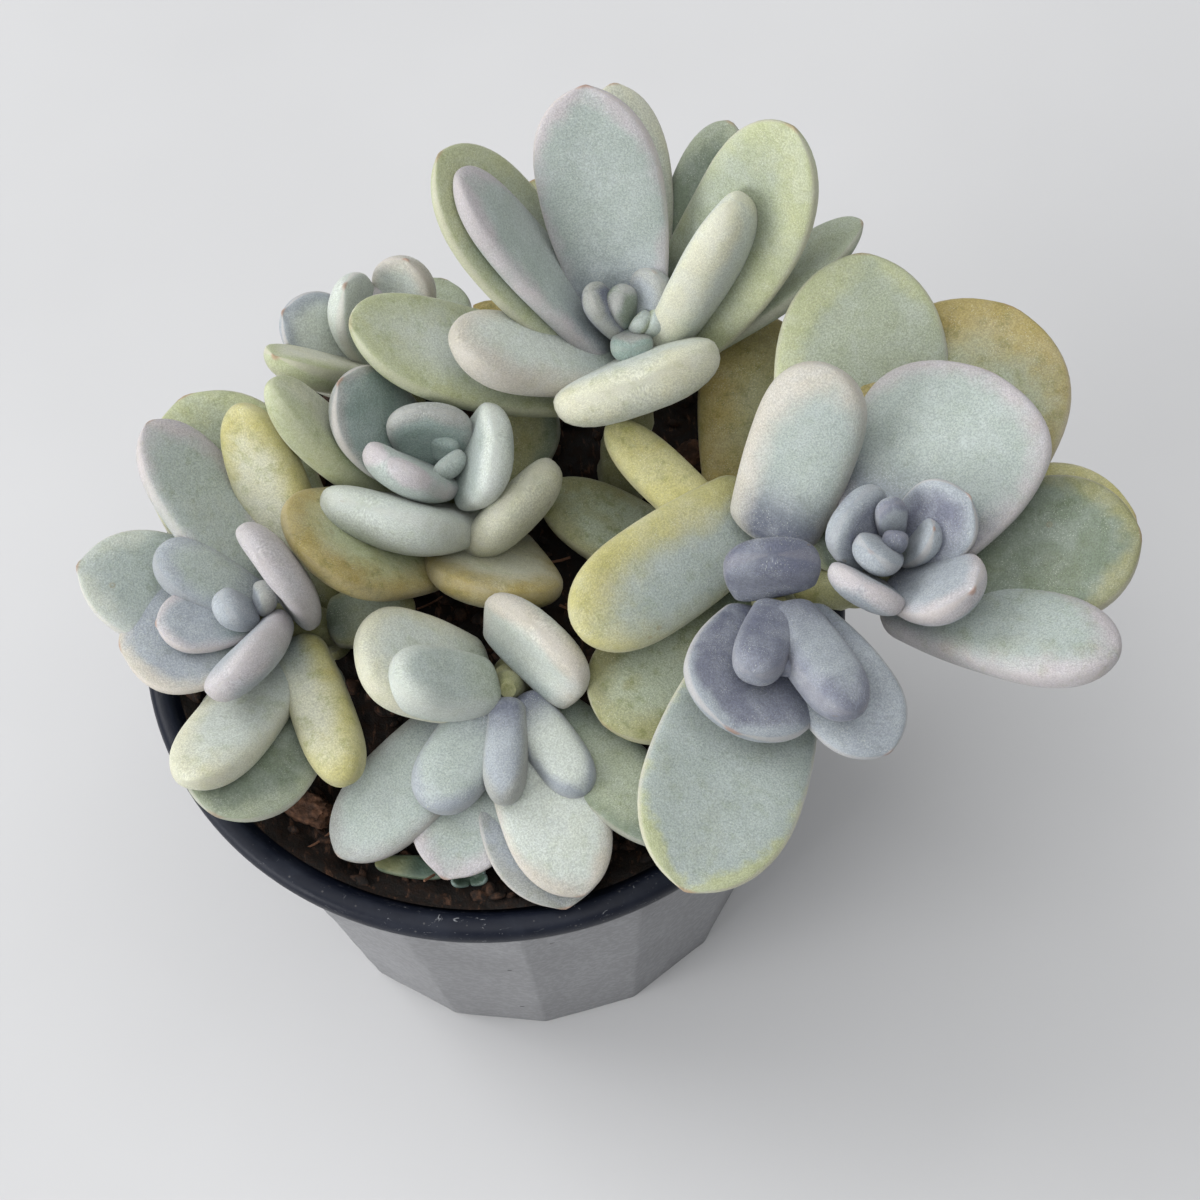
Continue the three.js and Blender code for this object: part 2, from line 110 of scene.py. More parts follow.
# The photograph's view, which is steeply down, a little from the right, and slightly rolled
CAMERA_PLACE = (0.0181, -0.1986, 0.4594)
CAMERA_PITCH = math.radians(62.04)
CAMERA_ROLL = math.radians(-6.10)
CAMERA_LENS = 74.76

# The heads. stem is where a head's stem stands and its radius. heart is a crown's growing point, lean
# is how far and towards which side the crown tips, and core is how far from its axis leaves root at
# most. Lengths are in millimetres and turns in degrees. A leaf row holds its name, how far below the
# heart it roots, the side it points to, its rise above level, its length, width and thickness, how
# far it curls up and is twisted, how blunt it is, the tints of its root, body and rim, how far the
# rim's blush reaches in, how old it looks, and how lopsided its blush is.
HEADS = {
    "head_top": {
        "stem": (24, 22, 4),
        "crowns": [{
            "heart": (28, 31, 121), "lean": (5, 90), "core": 3.2,
            "leaves": (
                ("T1", 2, 100, 60, 42, 21, 6.5, 20, -25, 0.3, "lavender mint pink", 0.15, 0, 0),
                ("T2", 8, 88, 44, 42, 17, 6, 13, 14, 0.4, "lavender pale cream", 0.3, 0, 0),
                ("T3", 9, 148, 52, 43, 16, 6.3, 9, 26, 0.9, "lavender mint pink", 0.15, 0, 0),
                ("T4", 10, 145, 49, 47, 21, 6.1, 16, 7, 0.5, "green sage lime", 0.3, 0.3, 0),
                ("T5", 8, 16, 65, 36, 15, 8.7, 22, -55, 1, "sage pale cream", 0.2, 0.1, 0),
                ("T6", 10, 21, 60, 52, 21, 6, 32, 19, 0.5, "green sage lime", 0.35, 0.3, -0.6),
                ("T7", 13, 53, 48, 43, 15, 6, 22, -16, 0.5, "green green sage", 0.2, 0.2, 0),
                ("T8", 12, 12, 33, 43, 13, 5, 12, -20, 0.5, "green sage sage", 0.25, 0.4, 0),
                ("T9", 8, -170, 33, 31, 16, 7.9, 17, 7, 1, "mint pale peach", 0.3, 0.2, 0),
                ("T10", 8, -91, 51, 20, 28, 9.2, 17, 15, 1, "pale pale cream", 0.3, 0.4, 0),
                ("T11", 2, 165, 65, 12, 7, 4.5, 10, 10, 0.8, "slate slate grey", 0.2, 0.2, 0),
                ("T12", 1, 40, 65, 11, 8, 5, 25, 0, 0.6, "mint lavender grey", 0.3, 0.1, 0),
                ("T13", 0, 140, 85, 8, 6, 4.5, 30, 0, 0.8, "teal green grey", 0.2, 0, 0),
                ("T14", 1, -95, 35, 7, 7, 4.5, 40, 0, 0.8, "teal grey teal", 0.2, 0, 0),
                ("T15", 0, -45, 70, 5, 4, 3, 30, 0, 0.8, "teal sage mint", 0.2, 0, 0),
                ("T16", 1, -10, 55, 7, 6, 4, 30, 0, 0.8, "teal sage mint", 0.2, 0, 0),
                ("T17", 14, 178, 28, 48, 21, 6.5, 30, 6, 0.6, "sage pale lime", 0.5, 0.5, 0),
                ("T23", 16, 110, 15, 38, 22, 6, 15, 0, 0.4, "green sage olive", 0.3, 0.5, 0),
                ("T24", 17, 60, 15, 38, 22, 6, 15, 0, 0.4, "green sage olive", 0.3, 0.5, 0),
                ("T19", 15, 146, 4, 28, 8, 3, 4, 0, 0.4, "ochre ochre ochre", 0.3, 1, 0),
            ),
        }],
    },
    "head_right": {
        "stem": (42, -6, 4.5),
        "crowns": [{
            "heart": (45, -8, 112), "lean": (0, 0), "core": 3,
            "leaves": (
                ("R1", 0, 56, 46, 31, 17.5, 8.5, 12, 5, 1, "slate mint peach", 0.3, 0.1, 0.6),
                ("R3", 12, 85, 14, 44, 20, 7, 7, -5, 0.8, "olive olive ochre", 0.6, 0.9, 0.5),
                ("R4", 7, 133, 19, 32, 9, 7.9, 8, -10, 0.8, "olive yellow yellow", 0.45, 0.7, 0),
                ("R5", 22, 145, 10, 40, 15, 6, 8, 8, 0.6, "green sage olive", 0.3, 0.9, 0),
                ("R6", 12, -140, 5, 34, 22, 7, 8, -5, 0.6, "green sage olive", 0.4, 0.9, 0),
            ),
        }, {
            "heart": (47, 3, 108), "lean": (0, 0), "core": 3,
            "leaves": (
                ("R2", 0, -145, 8, 40, 18, 8, -2, -25, 0.9, "mint mint yellow", 0.42, 0.3, -0.9),
            ),
        }, {
            "heart": (64, -16, 124), "lean": (15, 0), "core": 3,
            "leaves": (
                ("S1", 4, 53, 15, 32, 33, 7, 20, -12, 0.6, "slate mint pink", 0.2, 0.15, 0),
                ("S2", 17, 83, 28, 52, 28, 6, 16, 0, 0.5, "green sage lime", 0.15, 0.25, 0.4),
                ("S3", 11, 55, 15, 47, 33, 6, 5, 5, 0.5, "green sage ochre", 0.45, 0.8, 0.5),
                ("S4", 9, -4, 13, 38, 25, 7, 15, 6, 0.5, "green green olive", 0.15, 0.5, 0),
                ("S5", 11, 5, 7, 39, 25, 5, 6, 9, 0.5, "lime lime yellow", 0.4, 0.4, 0),
                ("S6", 13, -35, 19, 40, 17, 8, 8, -5, 0.8, "mint mint pink", 0.2, 0.4, 0),
                ("S7", 3, 152, 63, 11, 13, 5.2, 44, -15, 1, "slate slate lavender", 0.3, 0, 0),
                ("S8", 4, 10, 50, 16, 13, 4.5, 7, 24, 0.2, "slate violet lavender", 0.25, 0, 0),
                ("S9", 0, 103, 78, 8, 5, 3.8, 32, 2, 0.8, "slate lavender violet", 0.2, 0, 0),
                ("S10", 1, -134, 53, 9, 8, 4.8, 31, -9, 0.6, "slate lavender lavender", 0.2, 0, 0),
                ("S11", 0, -105, 85, 5, 4, 3, 30, 0, 0.8, "teal violet violet", 0.2, 0, 0),
                ("S12", 4, -7, 62, 10, 7, 4, 27, -9, 0.4, "teal lavender lavender", 0.2, 0, 0),
                ("S13", 8, -116, 60, 14, 13, 4.9, 32, -12, 0.8, "slate lavender pink", 0.2, 0, 0),
                ("S14", 7, -48, 42, 19, 14, 6.6, 23, 1, 0.4, "slate lavender pink", 0.2, 0, 0),
                ("S16", 14, 30, -5, 34, 22, 6, 15, 0, 0.5, "green sage olive", 0.3, 0.5, 0),
            ),
        }, {
            "heart": (45.5, -22, 120), "lean": (20, -100), "core": 2.5,
            "leaves": (
                ("Y1", 2, 102, 78, 10, 15, 7, 59, -13, 1, "slate violet slate", 0.3, 0, 0),
                ("Y2", 0, -112, 24, 17, 8.5, 7.5, 12, 0, 1, "slate slate violet", 0.3, 0, 0),
                ("Y3", 0, -70, 14, 24, 10, 8.5, 10, -20, 1, "violet lavender violet", 0.3, 0, 0),
                ("Y4", 1, -90, 20, 14, 8, 5, 10, 0, 0.8, "violet slate violet", 0.2, 0, 0),
                ("Y5", 1, -95, 45, 6, 4, 3, 20, 0, 0.8, "violet violet pink", 0.2, 0, 0),
                ("Y6", 4, -114, 12, 23, 22, 6.9, 10, -18, 0.4, "slate violet lavender", 0.1, 0, 0),
                ("Y7", 3, -64, 0, 28, 15.5, 6, 5, 8, 0.5, "slate lavender lavender", 0.25, 0.1, 0),
                ("Y8", 12, -113, 7, 49, 25, 6, 10, -10, 0.3, "green mint lime", 0.05, 0.3, 0),
            ),
        }],
    },
    "head_centre": {
        "stem": (-8, 18, 3.8),
        "crowns": [{
            "heart": (-5, 13, 113), "lean": (10, -120), "core": 3,
            "leaves": (
                ("C1", 2, 112, 78, 13, 14, 5.1, 30, -29, 0.8, "teal teal grey", 0.2, 0, 0),
                ("C2", 3, -147, 62, 17, 14, 6, 32, 16, 0.9, "mint mint pink", 0.12, 0, 0),
                ("C3", 4, -14, 62, 16, 17, 6.5, 33, 10, 0.8, "teal mint pale", 0.2, 0, 0),
                ("C4", 0, -55, 70, 6, 6, 3.5, 30, 0, 0.8, "teal mint mint", 0.2, 0, 0),
                ("C5", 0, 60, 80, 6, 5, 3.5, 30, 0, 0.8, "teal teal teal", 0.2, 0, 0),
                ("C6", 7, 151, 55, 25, 16.5, 6, 28, -1, 0.3, "teal teal grey", 0.12, 0.1, 0),
                ("C7", 21, 170, 57, 45, 13, 8.2, 29, 20, 0.8, "sage cream lime", 0.3, 0.5, 0.5),
                ("C8", 16, -137, 56, 28, 24, 9, 35, 22, 1, "mint pale pale", 0.3, 0.2, 0),
                ("C9", 23, -142, 46, 42, 24, 7.2, 16, -8, 0.8, "olive lime ochre", 0.35, 0.9, 0),
                ("C10", 22, -43, 64, 27, 19.5, 8, 34, -5, 1, "sage cream cream", 0.3, 0.3, 0),
                ("C11", 23, -77, 36, 28, 23, 7, 25, -25, 0.9, "sage cream ochre", 0.35, 0.5, 0),
                ("C12", 24, 50, 30, 22, 16, 6, 15, 0, 0.6, "olive olive green", 0.3, 0.9, 0),
            ),
        }],
    },
    "head_left": {
        "stem": (-28, -2, 3.6),
        "crowns": [{
            "heart": (-37, -7, 107), "lean": (30, 200), "core": 3,
            "leaves": (
                ("D1", 20, 108, 52, 41, 13, 7.5, 15, -35, 0.9, "olive cream yellow", 0.35, 0.6, 0),
                ("D2", 8, 122, 27, 37, 17, 6.8, 4, 30, 0.5, "mint mint pink", 0.25, 0.4, -0.5),
                ("D3", 16, 116, 27, 42, 27, 6, 10, 2, 0.4, "green sage lime", 0.3, 0.5, 0),
                ("D4", 13, 168, 26, 36, 20, 6, 8, -4, 0.2, "sage mint pale", 0.2, 0.3, 0),
                ("D5", 4, -171, 9, 23, 22, 5, 12, 3, 0.4, "green lavender peach", 0.15, 0.2, 0),
                ("D6", 1, 188, 17, 16, 11, 4.9, 22, -1, 0.3, "teal lavender pink", 0.2, 0.1, 0),
                ("D7", 4, 152, 30, 20, 10.5, 7.5, 8, 10, 0.9, "lavender mint lavender", 0.3, 0.2, 0),
                ("D8", 7, 40, 98, 22, 17, 5.9, 35, -9, 1, "lavender pink pink", 0.2, 0.1, 0),
                ("D9", 4, -107, 42, 22, 14, 6.8, 17, 51, 0.9, "slate lavender pink", 0.3, 0.1, 0),
                ("D10", 0, -160, 64, 8.5, 7, 5, 28, 0, 0.8, "lavender lavender lavender", 0.2, 0, 0),
                ("D11", 0, 20, 75, 6, 5, 3.5, 30, 0, 0.8, "slate lavender grey", 0.2, 0, 0),
                ("D12", 11, -119, 20, 35, 14, 8, 20, 10, 0.8, "mint pale cream", 0.3, 0.4, -0.5),
                ("D13", 15, -114, 15, 37, 22, 6, 8, -15, 0.5, "green green sage", 0.15, 0.3, 0),
                ("D14", 9, -75, 5, 29, 10, 9, 12, 10, 1, "mint cream yellow", 0.5, 0.7, 0.6),
                ("D15", 15, 5, 5, 15, 12, 5.5, 15, 0, 0.6, "green sage olive", 0.3, 0.5, 0),
                ("D17", 14, 150, 5, 26, 19, 6, 12, 0, 0.5, "green green sage", 0.2, 0.4, 0),
            ),
        }],
    },
    "head_front": {
        "stem": (4, -14, 3.6),
        "crowns": [{
            "heart": (2, -24, 103), "lean": (35, -90), "core": 3,
            "leaves": (
                ("E1", 4, -174, 38, 20, 12, 9, 8, 5, 0.9, "sage mint pale", 0.25, 0.1, 0),
                ("E2", 8, 176, 38, 25, 19, 8, 11, 5, 0.8, "sage pale cream", 0.3, 0.3, 0),
                ("E3", 6, 34, 73, 14, 22, 6.2, 59, 7, 1, "mint pale peach", 0.25, 0.1, 0),
                ("E4", 4, -127, -3, 22, 12, 8.6, 3, -5, 1, "slate mint lavender", 0.2, 0, 0),
                ("E5", 2, -97, -3, 18, 7, 7.9, 9, 4, 1, "slate lavender grey", 0.2, 0, 0),
                ("E6", 5, -62, -4, 20, 9, 8.7, 9, 3, 1, "slate pale lavender", 0.2, 0, 0),
                ("E7", 6, -142, -12, 36, 16, 6.3, -3, 1, 0.5, "slate mint grey", 0.2, 0.1, 0),
                ("E8", 6, -114, -13, 30, 18, 5.5, 8, -8, 0.2, "lavender mint pink", 0.2, 0.3, 0),
                ("E9", 5, -77, -9, 34, 17, 6, 9, 0, 0.5, "mint pale peach", 0.15, 0.2, 0),
                ("E10", 10, -82, -6, 36, 21, 4.5, 5, -5, 0.3, "green lavender grey", 0.15, 0.3, 0),
                ("E11", 9, -51, 0, 37, 14, 6, 6, -4, 0.5, "teal sage green", 0.3, 0.5, 0),
            ),
        }],
    },
    "head_back": {
        "stem": (-12, 40, 3.2),
        "crowns": [{
            "heart": (-14, 46, 106), "lean": (20, 120), "core": 2.5,
            "leaves": (
                ("F1", 5, 178, 45, 20, 13, 6, 21, -30, 0.2, "lavender pale lavender", 0.25, 0.1, 0),
                ("F2", 4, 50, 70, 17, 12, 6, 20, 5, 0.2, "mint pale peach", 0.25, 0.1, 0),
                ("F3", 7, 160, 80, 21, 13, 6, 20, 0, 0.4, "pale pale pale", 0.2, 0.1, 0),
                ("F4", 8, -148, 50, 29, 14, 6, 20, 22, 0.4, "sage cream lime", 0.3, 0.3, 0),
                ("F5", 8, -15, 38, 18, 12, 5, 15, 0, 0.4, "mint sage pale", 0.2, 0.2, 0),
                ("F6", 11, 110, 0, 16, 15, 6, 15, 0, 0.4, "green sage sage", 0.2, 0.4, 0),
                ("F7", 11, 65, 5, 18, 15, 6, 15, 0, 0.4, "green sage sage", 0.2, 0.4, 0),
                ("F8", 12, 150, 0, 17, 15, 6, 15, 0, 0.4, "green sage sage", 0.2, 0.4, 0),
                ("F9", 2, 120, 70, 9, 8, 4.5, 30, 0, 0.7, "slate lavender pink", 0.2, 0, 0),
                ("F10", 1, -60, 75, 7, 6, 4, 30, 0, 0.7, "slate lavender pink", 0.2, 0, 0),
                ("F11", 1, 20, 75, 8, 6, 4, 30, 0, 0.7, "slate lavender pink", 0.2, 0, 0),
            ),
        }],
    },
}

# The dropped leaf and the leaves of the sprout lie on the soil: where they root, and then rise,
# length, width, thickness, curl, twist and bluntness as in the rows above
FALLEN_ROOT = (-22.5, -44)
FALLEN_AIM = -12
FALLEN_LEAF = (0, 13, 4, 2.2, 10, 0, 0.3)
SPROUT_ROOT = (-7.5, -48.6)
SPROUT_AIMS = (0, 30, 150, 180)
SPROUT_LEAF = (25, 3.2, 2, 1.3, 30, 0, 0.5)

# Chips of bark that lie on the soil: x, y, length, width and height in millimetres, and turn
BARK_CHIPS = (
    (-38, -24, 7, 4, 3, 20),
    (-33, -33, 8, 4.5, 3.5, -35),
    (-26, -37, 6, 3.5, 2.5, 60),
    (3, -43, 6, 3.5, 2.5, 10),
    (22, -37, 7, 4, 3, 10),
    (-30, 30, 7, 4.5, 3, 75),
    (8, 42, 8, 4, 3, -15),
    (36, 26, 6, 4, 3, 40),
)
# A broken chip's share of its box, and how high its middle stands, as a share of its height
CHIP_FILL = 0.85
CHIP_LIFT = 0.4255


def tint_property(label, colour):
    """A leaf tint that a user can change."""
    return FloatVectorProperty(
        name=label, description=f"{label} tint of the leaves", subtype="COLOR", size=3,
        min=0, max=1, default=colour,
    )


class LeafTints(bpy.types.PropertyGroup):
    """The tints that leaf rows name."""
    mint: tint_property("Mint", (0.35, 0.40, 0.37))
    pale: tint_property("Pale", (0.51, 0.55, 0.50))
    sage: tint_property("Sage", (0.33, 0.37, 0.27))
    green: tint_property("Green", (0.17, 0.21, 0.15))
    teal: tint_property("Teal", (0.23, 0.30, 0.27))
    lavender: tint_property("Lavender", (0.30, 0.33, 0.36))
    slate: tint_property("Slate", (0.12, 0.13, 0.18))
    violet: tint_property("Violet", (0.16, 0.17, 0.22))
    lime: tint_property("Lime", (0.42, 0.45, 0.27))
    yellow: tint_property("Yellow", (0.47, 0.44, 0.19))
    ochre: tint_property("Ochre", (0.37, 0.30, 0.11))
    olive: tint_property("Olive", (0.27, 0.27, 0.13))
    cream: tint_property("Cream", (0.57, 0.57, 0.44))
    peach: tint_property("Peach", (0.49, 0.46, 0.40))
    pink: tint_property("Pink", (0.45, 0.42, 0.43))
    grey: tint_property("Grey", (0.30, 0.31, 0.29))
    damp: tint_property("Damp", (0.06, 0.10, 0.07))
    bark: tint_property("Bark", (0.16, 0.11, 0.06))


class LeafShape(bpy.types.PropertyGroup):
    """How one tapered leaf swells from its root to its tip, as shares of its own size."""
    sides: IntProperty(name="Sides", description="Faces round a leaf", default=32, min=8, max=64)
    rings: IntProperty(name="Rings", description="Faces along a leaf", default=36, min=8, max=64)
    base_width: FloatProperty(
        name="Base width", description="Width at the root", default=0.5, min=0.1, max=1)
    widest: FloatProperty(
        name="Widest", description="Where along the leaf it is widest", default=0.6, min=0.3, max=0.8)
    tip_bend: FloatProperty(
        name="Tip bend", description="Power by which the tip narrows", default=2.2, min=1, max=6)
    tip_round: FloatProperty(
        name="Tip round", description="Power of the tip's end", default=0.6, min=0.3, max=1)
    base_thickness: FloatProperty(
        name="Base thickness", description="Thickness at the root", default=0.62, min=0.1, max=1)
    thickest: FloatProperty(
        name="Thickest", description="Where along the leaf it is thickest", default=0.55, min=0.3, max=0.8)
    thin_bend: FloatProperty(
        name="Thin bend", description="Power by which the tip thins", default=2.4, min=1, max=6)
    corner: FloatProperty(
        name="Corner", description="Power that squares its section", default=0.91, min=0.5, max=1.5)
    upper: FloatProperty(
        name="Upper side", description="Share of the thickness above the margins", default=0.36,
        min=0, max=1)
    cup: FloatProperty(
        name="Cup", description="How far the margins rise, as a share of the width", default=0.09,
        min=0, max=0.5)
    root_end: FloatProperty(
        name="Root end", description="Share of the leaf over which its root rounds off", default=0.12,
        min=0.01, max=0.3)
    point: FloatProperty(
        name="Point", description="Length of the small point at a tapered tip", default=0.9 * MM, min=0,
        max=0.003, unit="LENGTH")
    dents: FloatProperty(
        name="Dents", description="Depth of the soft waves in a leaf", default=0.3 * MM, min=0, max=0.002,
        unit="LENGTH")


# What full bluntness adds to a leaf's shape
BLUNT = {
    "base_width": 0.3, "widest": -0.04, "tip_bend": 0.8, "tip_round": -0.1, "base_thickness": 0.2,
    "thickest": 0.0, "thin_bend": 0.8, "corner": -0.14, "upper": 0.09, "cup": -0.06,
}


class PotSizes(bpy.types.PropertyGroup):
    """Sizes and colours of the two pots."""
    cover_colour: FloatVectorProperty(
        name="Cover pot", description="Colour of the cast cover pot", subtype="COLOR", size=3,
        min=0, max=1, default=(0.25, 0.252, 0.26))
    facets: IntProperty(
        name="Facets", description="Flat sides of the cover pot", default=16, min=6, max=32)
    first_corner: FloatProperty(
        name="First corner", description="Side of the cover pot's first corner", subtype="ANGLE",
        default=math.radians(-136), min=-math.pi, max=math.pi)
    cover_base: FloatProperty(
        name="Cover base radius", description="Radius to the corners of the cover pot's base",
        default=44.6 * MM, min=0.01, max=0.2, unit="LENGTH")
    cover_mouth: FloatProperty(
        name="Cover mouth radius", description="Radius to the corners of the cover pot's mouth",
        default=55.4 * MM, min=0.01, max=0.2, unit="LENGTH")
    cover_wall: FloatProperty(
        name="Cover wall", description="Thickness of the cover pot's wall", default=2.2 * MM,
        min=0.001, max=0.01, unit="LENGTH")
    cover_floor: FloatProperty(
        name="Cover floor", description="Thickness of the cover pot's floor", default=5 * MM,
        min=0.001, max=0.02, unit="LENGTH")
    nursery_colour: FloatVectorProperty(
        name="Nursery pot", description="Colour of the black nursery pot", subtype="COLOR", size=3,
        min=0, max=1, default=(0.006, 0.008, 0.016))
    nursery_base: FloatProperty(
        name="Nursery base radius", description="Radius of the nursery pot's base", default=41 * MM,
        min=0.01, max=0.2, unit="LENGTH")
    nursery_neck: FloatProperty(
        name="Nursery neck radius", description="Radius of the nursery pot under its rim",
        default=51.6 * MM, min=0.01, max=0.2, unit="LENGTH")
    nursery_wall: FloatProperty(
        name="Nursery wall", description="Thickness of the nursery pot's wall", default=1.2 * MM,
        min=0.0005, max=0.01, unit="LENGTH")
    rim_width: FloatProperty(
        name="Rim width", description="Width of the nursery pot's rolled rim", default=3.8 * MM,
        min=0.001, max=0.01, unit="LENGTH")


class SoilLooks(bpy.types.PropertyGroup):
    """The potting mix."""
    colour: FloatVectorProperty(
        name="Soil", description="Colour of the damp potting mix", subtype="COLOR", size=3,
        min=0, max=1, default=(0.009, 0.007, 0.006))
    bark_colour: FloatVectorProperty(
        name="Bark", description="Colour of the bark chips", subtype="COLOR", size=3,
        min=0, max=1, default=(0.17, 0.085, 0.05))
    crumbs: IntProperty(
        name="Crumbs", description="Loose crumbs on the soil", default=700, min=0, max=1500)
    fibres: IntProperty(
        name="Fibres", description="Coir fibres on the soil", default=55, min=0, max=1000)
    relief: FloatProperty(
        name="Relief", description="Height of the lumps in the soil", default=2.4 * MM, min=0, max=0.01,
        unit="LENGTH")
    bank_width: FloatProperty(
        name="Bank width", description="How far the soil leans up against the rim", default=4.2 * MM,
        min=0, max=0.01, unit="LENGTH")
    bank_height: FloatProperty(
        name="Bank height", description="How high the soil leans up against the rim", default=2.9 * MM,
        min=0, max=0.01, unit="LENGTH")


class StageLooks(bpy.types.PropertyGroup):
    """The floor and the light."""
    floor_colour: FloatVectorProperty(
        name="Floor", description="Colour of the pale floor", subtype="COLOR", size=3,
        min=0, max=1, default=(0.57, 0.57, 0.575))
    key_power: FloatProperty(
        name="Key light", description="Power of the large soft light at the left", default=46,
        min=0, max=1000, unit="POWER")
    top_power: FloatProperty(
        name="Top light", description="Power of the wide soft light overhead", default=28,
        min=0, max=1000, unit="POWER")
    window_power: FloatProperty(
        name="Window light", description="Power of the low light from the left", default=36,
        min=0, max=1000, unit="POWER")
    sky: FloatProperty(
        name="Sky", description="Strength of the even light from all round", default=0.41, min=0, max=5)


def deselect_all():
    """Nothing stays selected, so the next operator acts on its own piece alone."""
    if bpy.context.mode != "OBJECT":
        bpy.ops.object.mode_set(mode="OBJECT")
    bpy.ops.object.select_all(action="DESELECT")


def added(name):
    """Names the primitive that was just added and puts its place into its mesh."""
    piece = bpy.context.object
    piece.name = name
    piece.data.name = name
    bpy.ops.object.transform_apply(location=True, rotation=True, scale=True)
    return piece


def select_in_edit(piece, chosen):
    """In edit mode, selects only the vertices whose place passes the test, and what joins them."""
    shape = bmesh.from_edit_mesh(piece.data)
    for face in shape.faces:
        face.select = False
    for edge in shape.edges:
        edge.select = False
    for corner in shape.verts:
        corner.select = chosen(corner.co)
    shape.select_flush(True)
    bmesh.update_edit_mesh(piece.data)


def apply_modifiers(piece):
    """Applies every modifier of a piece, in order."""
    deselect_all()
    piece.select_set(True)
    bpy.context.view_layer.objects.active = piece
    for modifier in list(piece.modifiers):
        bpy.ops.object.modifier_apply(modifier=modifier.name)


def join_pieces(name, parts):
    """Joins the parts into one piece of that name."""
    deselect_all()
    for part in parts:
        part.select_set(True)
    bpy.context.view_layer.objects.active = parts[0]
    if len(parts) > 1:
        bpy.ops.object.join()
    piece = bpy.context.object
    piece.name = name
    piece.data.name = name
    return piece


def copy_of(pattern, name):
    """A copy of a pattern piece, with its own mesh."""
    piece = pattern.copy()
    piece.data = pattern.data.copy()
    piece.name = name
    bpy.context.scene.collection.objects.link(piece)
    return piece


def discard(piece):
    """Removes a pattern piece once its copies are made."""
    mesh = piece.data
    bpy.data.objects.remove(piece)
    bpy.data.meshes.remove(mesh)


def smooth(piece, angle=40):
    """Shades a piece smooth, with sharp edges kept past the angle."""
    deselect_all()
    piece.select_set(True)
    bpy.context.view_layer.objects.active = piece
    bpy.ops.object.shade_smooth_by_angle(angle=math.radians(angle))


def outward(piece):
    """Points every face of a piece outwards."""
    deselect_all()
    piece.select_set(True)
    bpy.context.view_layer.objects.active = piece
    bpy.ops.object.mode_set(mode="EDIT")
    bpy.ops.mesh.select_all(action="SELECT")
    bpy.ops.mesh.remove_doubles(threshold=1e-6)
    bpy.ops.mesh.normals_make_consistent(inside=False)
    bpy.ops.object.mode_set(mode="OBJECT")


def finish_piece(piece, material, slot, *nodes):
    """Gives a piece its material, hangs it under the root body and hides the CAD parts that it stands for.
    """
    piece.data.materials.clear()
    piece.data.materials.append(material)
    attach(piece, "root")
    if nodes:
        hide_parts(*nodes)


def points_of(mesh):
    """The vertex places of a mesh as rows."""
    flat = np.empty(len(mesh.vertices) * 3, dtype=np.float32)
    mesh.vertices.foreach_get("co", flat)
    return flat.reshape(-1, 3).astype(float)


def set_points(mesh, points):
    """Moves the vertices of a mesh to the given places."""
    mesh.vertices.foreach_set("co", np.asarray(points, dtype=np.float32).ravel())
    mesh.update()


def set_attribute(mesh, name, kind, rows):
    """Stores one value for each vertex, which a material can read."""
    attribute = mesh.attributes.new(name, kind, "POINT")
    field = "color" if kind == "FLOAT_COLOR" else "vector"
    attribute.data.foreach_set(field, np.asarray(rows, dtype=np.float32).ravel())


